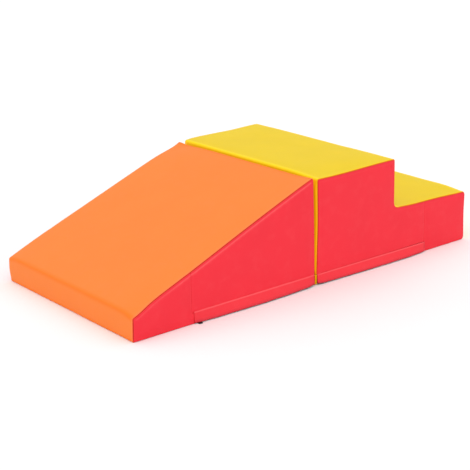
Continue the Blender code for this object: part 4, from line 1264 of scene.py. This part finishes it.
# Soft corners that give: (middle, reaches, move), each as (u, y, z)
SAGS = {
    "ramp": (
        ((0, -0.305, 0.2), (0.03, 0.04, 0.14), (-0.0022, 0, 0)),
        ((0.03, -0.305, 0.3), (0.12, 0.035, 0.15), (0, 0, 0.0035)),
        ((0.19, -0.305, 0.24), (0.13, 0.07, 0.2), (0, 0.004, 0)),
        ((0.45, -0.305, 0.13), (0.1, 0.07, 0.1), (0, 0, -0.002)),
        ((0.605, -0.305, 0.075), (0.045, 0.03, 0.05), (0, -0.002, -0.007)),
        ((0.58, -0.305, 0.08), (0.08, 0.06, 0.08), (0, -0.0015, -0.0015)),
        ((0, 0.305, 0.307), (0.065, 0.08, 0.1), (0, -0.004, -0.0075)),
        ((0, 0.305, 0.307), (0.028, 0.045, 0.1), (0, -0.001, 0.005)),
        ((0, 0.297, 0.31), (0.014, 0.03, 0.06), (-0.002, 0, 0.0026)),
        ((0.61, 0.305, 0.074), (0.03, 0.03, 0.03), (0, 0, -0.004)),
        ((0.57, 0.305, 0.09), (0.04, 0.05, 0.05), (0, 0, -0.0018)),
        ((0.61, 0.305, 0.045), (0.06, 0.06, 0.04), (0, 0.0045, 0)),
    ),
    "block": (
        ((0, -0.305, 0.175), (0.03, 0.04, 0.09), (0.0028, 0, 0)),
        ((0.06, -0.305, 0.307), (0.13, 0.07, 0.12), (0, 0, -0.0046)),
        ((0.2, -0.305, 0.307), (0.16, 0.045, 0.06), (0, 0, -0.0014)),
        ((0.315, -0.305, 0.16), (0.05, 0.06, 0.05), (0, 0, 0.004)),
        ((0.61, -0.305, 0.157), (0.1, 0.07, 0.1), (0, 0, -0.0052)),
        ((0.61, -0.305, 0.09), (0.03, 0.06, 0.06), (-0.0024, 0, 0)),
        ((0.61, -0.24, 0.157), (0.03, 0.05, 0.04), (0, 0, 0.002)),
        ((0.2, 0.305, 0.307), (0.06, 0.05, 0.05), (0, 0, -0.0014)),
        ((0.61, 0, 0.157), (0.2, 0.2, 0.1), (0, 0, 0.003)),
        ((0.307, 0.25, 0.307), (0.12, 0.25, 0.1), (0, 0, 0.0028)),
        ((0, 0.305, 0.307), (0.03, 0.03, 0.05), (0.004, -0.006, -0.001)),
    ),
}
LOW_PANEL_START, LOW_PANEL_FADE, SAG_FADE = 0.43, 0.05, 0.03


def sag(module, point):
    """Where a point of a module goes when its corners give; the foot and the flaps stay."""
    u = module.side * point.x - JOINT_GAP / 2
    low = lerp(FLAP_TOP, 0.0, settle(u - LOW_PANEL_START, LOW_PANEL_FADE))
    still = settle(point.z - low, SAG_FADE)
    move = Vector((0, 0, 0))
    for middle, reaches, shift in SAGS[module.name] if still else ():
        away = sum(((a - b) / c) ** 2 for a, b, c in zip((u, point.y, point.z), middle, reaches))
        move += Vector(shift) * math.exp(-away) * still
    move.x *= module.side
    return point + move


for module in MODULES:
    for obj in bpy.context.scene.objects:
        if obj.name.startswith(module.name) and obj.name not in frame["nodes"] and obj.type == "MESH":
            for vertex in obj.data.vertices:
                vertex.co = sag(module, vertex.co)


# Each side flap's top edge stays sewn to its module, and the cloth below the seam turns with the flap
for module in MODULES:
    for side, where in SIDES:
        node = f"{module.name}_{where}_flap"
        seam = [Vector((0, side * WIDTH / 2, FLAP_TOP - drop)) for drop in (0.0, FOLD_REACH)]
        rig.blend(bpy.data.objects[f"{node}_cloth"], module.name, node, *seam)


# The zips' hard pieces are shown as they are, in their own materials
for node, obj in frame["nodes"].items():
    for words, material in ((("teeth", "chain", "pull"), BLACK_PLASTIC), (("slider", "stop"), STEEL)):
        if any(word in node for word in words):
            obj.data.materials.clear()
            obj.data.materials.append(material)


# Floor
FLOOR_SIZE = 24
FLOOR_LIT, FLOOR_SEEN = (0.91,) * 3, (0.98,) * 3


def floor():
    """A pale floor that reads as white to the camera and in gloss, and keeps the object's shadow."""
    bpy.ops.mesh.primitive_plane_add(size=FLOOR_SIZE, location=(0, 0, 0))
    plane = bpy.context.object
    plane.name = "floor"
    look = Look("studio_floor")
    rays = look.node("LightPath").outputs
    seen = rays["Is Camera Ray"]
    for kind in ("Is Glossy Ray", "Is Transmission Ray"):
        seen = look.larger(seen, rays[kind])
    tone = look.mixed(seen, FLOOR_LIT, FLOOR_SEEN)
    inputs = {"Base Color": tone, "Roughness": 0.9, "Specular IOR Level": 0.0}
    plane.data.materials.append(look.finish(inputs))
    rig.stage(plane)


floor()


# Light
SUN_PLACE, SUN_STRENGTH, SUN_ANGLE = (-1.2, -1.5, 3.4), 0.54, 70
SKY_STRENGTH = 0.93


def light():
    data = bpy.data.lights.new("key", "SUN")
    data.energy = SUN_STRENGTH
    data.angle = math.radians(SUN_ANGLE)
    sun = linked("key", data)
    sun.location = SUN_PLACE
    sun.rotation_euler = (-Vector(SUN_PLACE)).to_track_quat("-Z", "Y").to_euler()
    world = bpy.data.worlds.new("studio")
    bpy.context.scene.world = world
    world.use_nodes = True
    sky = world.node_tree.nodes["Background"]
    sky.inputs["Color"].default_value = (1, 1, 1, 1)
    sky.inputs["Strength"].default_value = SKY_STRENGTH


light()


# Camera, fitted to the photograph's corners
CAMERA_PLACE, CAMERA_LENS = (-2.1954, -2.7005, 1.2006), 95.76
YAW, PITCH, TILT = map(math.radians, (38.616, 17.922, -1.2995))


def camera():
    data = bpy.data.cameras.new("camera")
    data.lens = CAMERA_LENS
    data.sensor_width = 36
    obj = linked("camera", data)
    forward = Vector((math.sin(YAW) * math.cos(PITCH), math.cos(YAW) * math.cos(PITCH), -math.sin(PITCH)))
    right = Vector((math.cos(YAW), -math.sin(YAW), 0))
    up = right.cross(forward)
    right, up = right * math.cos(TILT) + up * math.sin(TILT), up * math.cos(TILT) - right * math.sin(TILT)
    matrix = Matrix((right, up, -forward)).transposed().to_4x4()
    matrix.translation = CAMERA_PLACE
    obj.matrix_world = matrix
    bpy.context.scene.camera = obj


camera()
bpy.context.scene.view_settings.view_transform = "Standard"

bpy.context.view_layer.update()
with open("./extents.json", "w") as out:
    json.dump({"cad": [list(corner) for corner in cad_box], "visual": [list(corner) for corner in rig.bounds()]}, out)
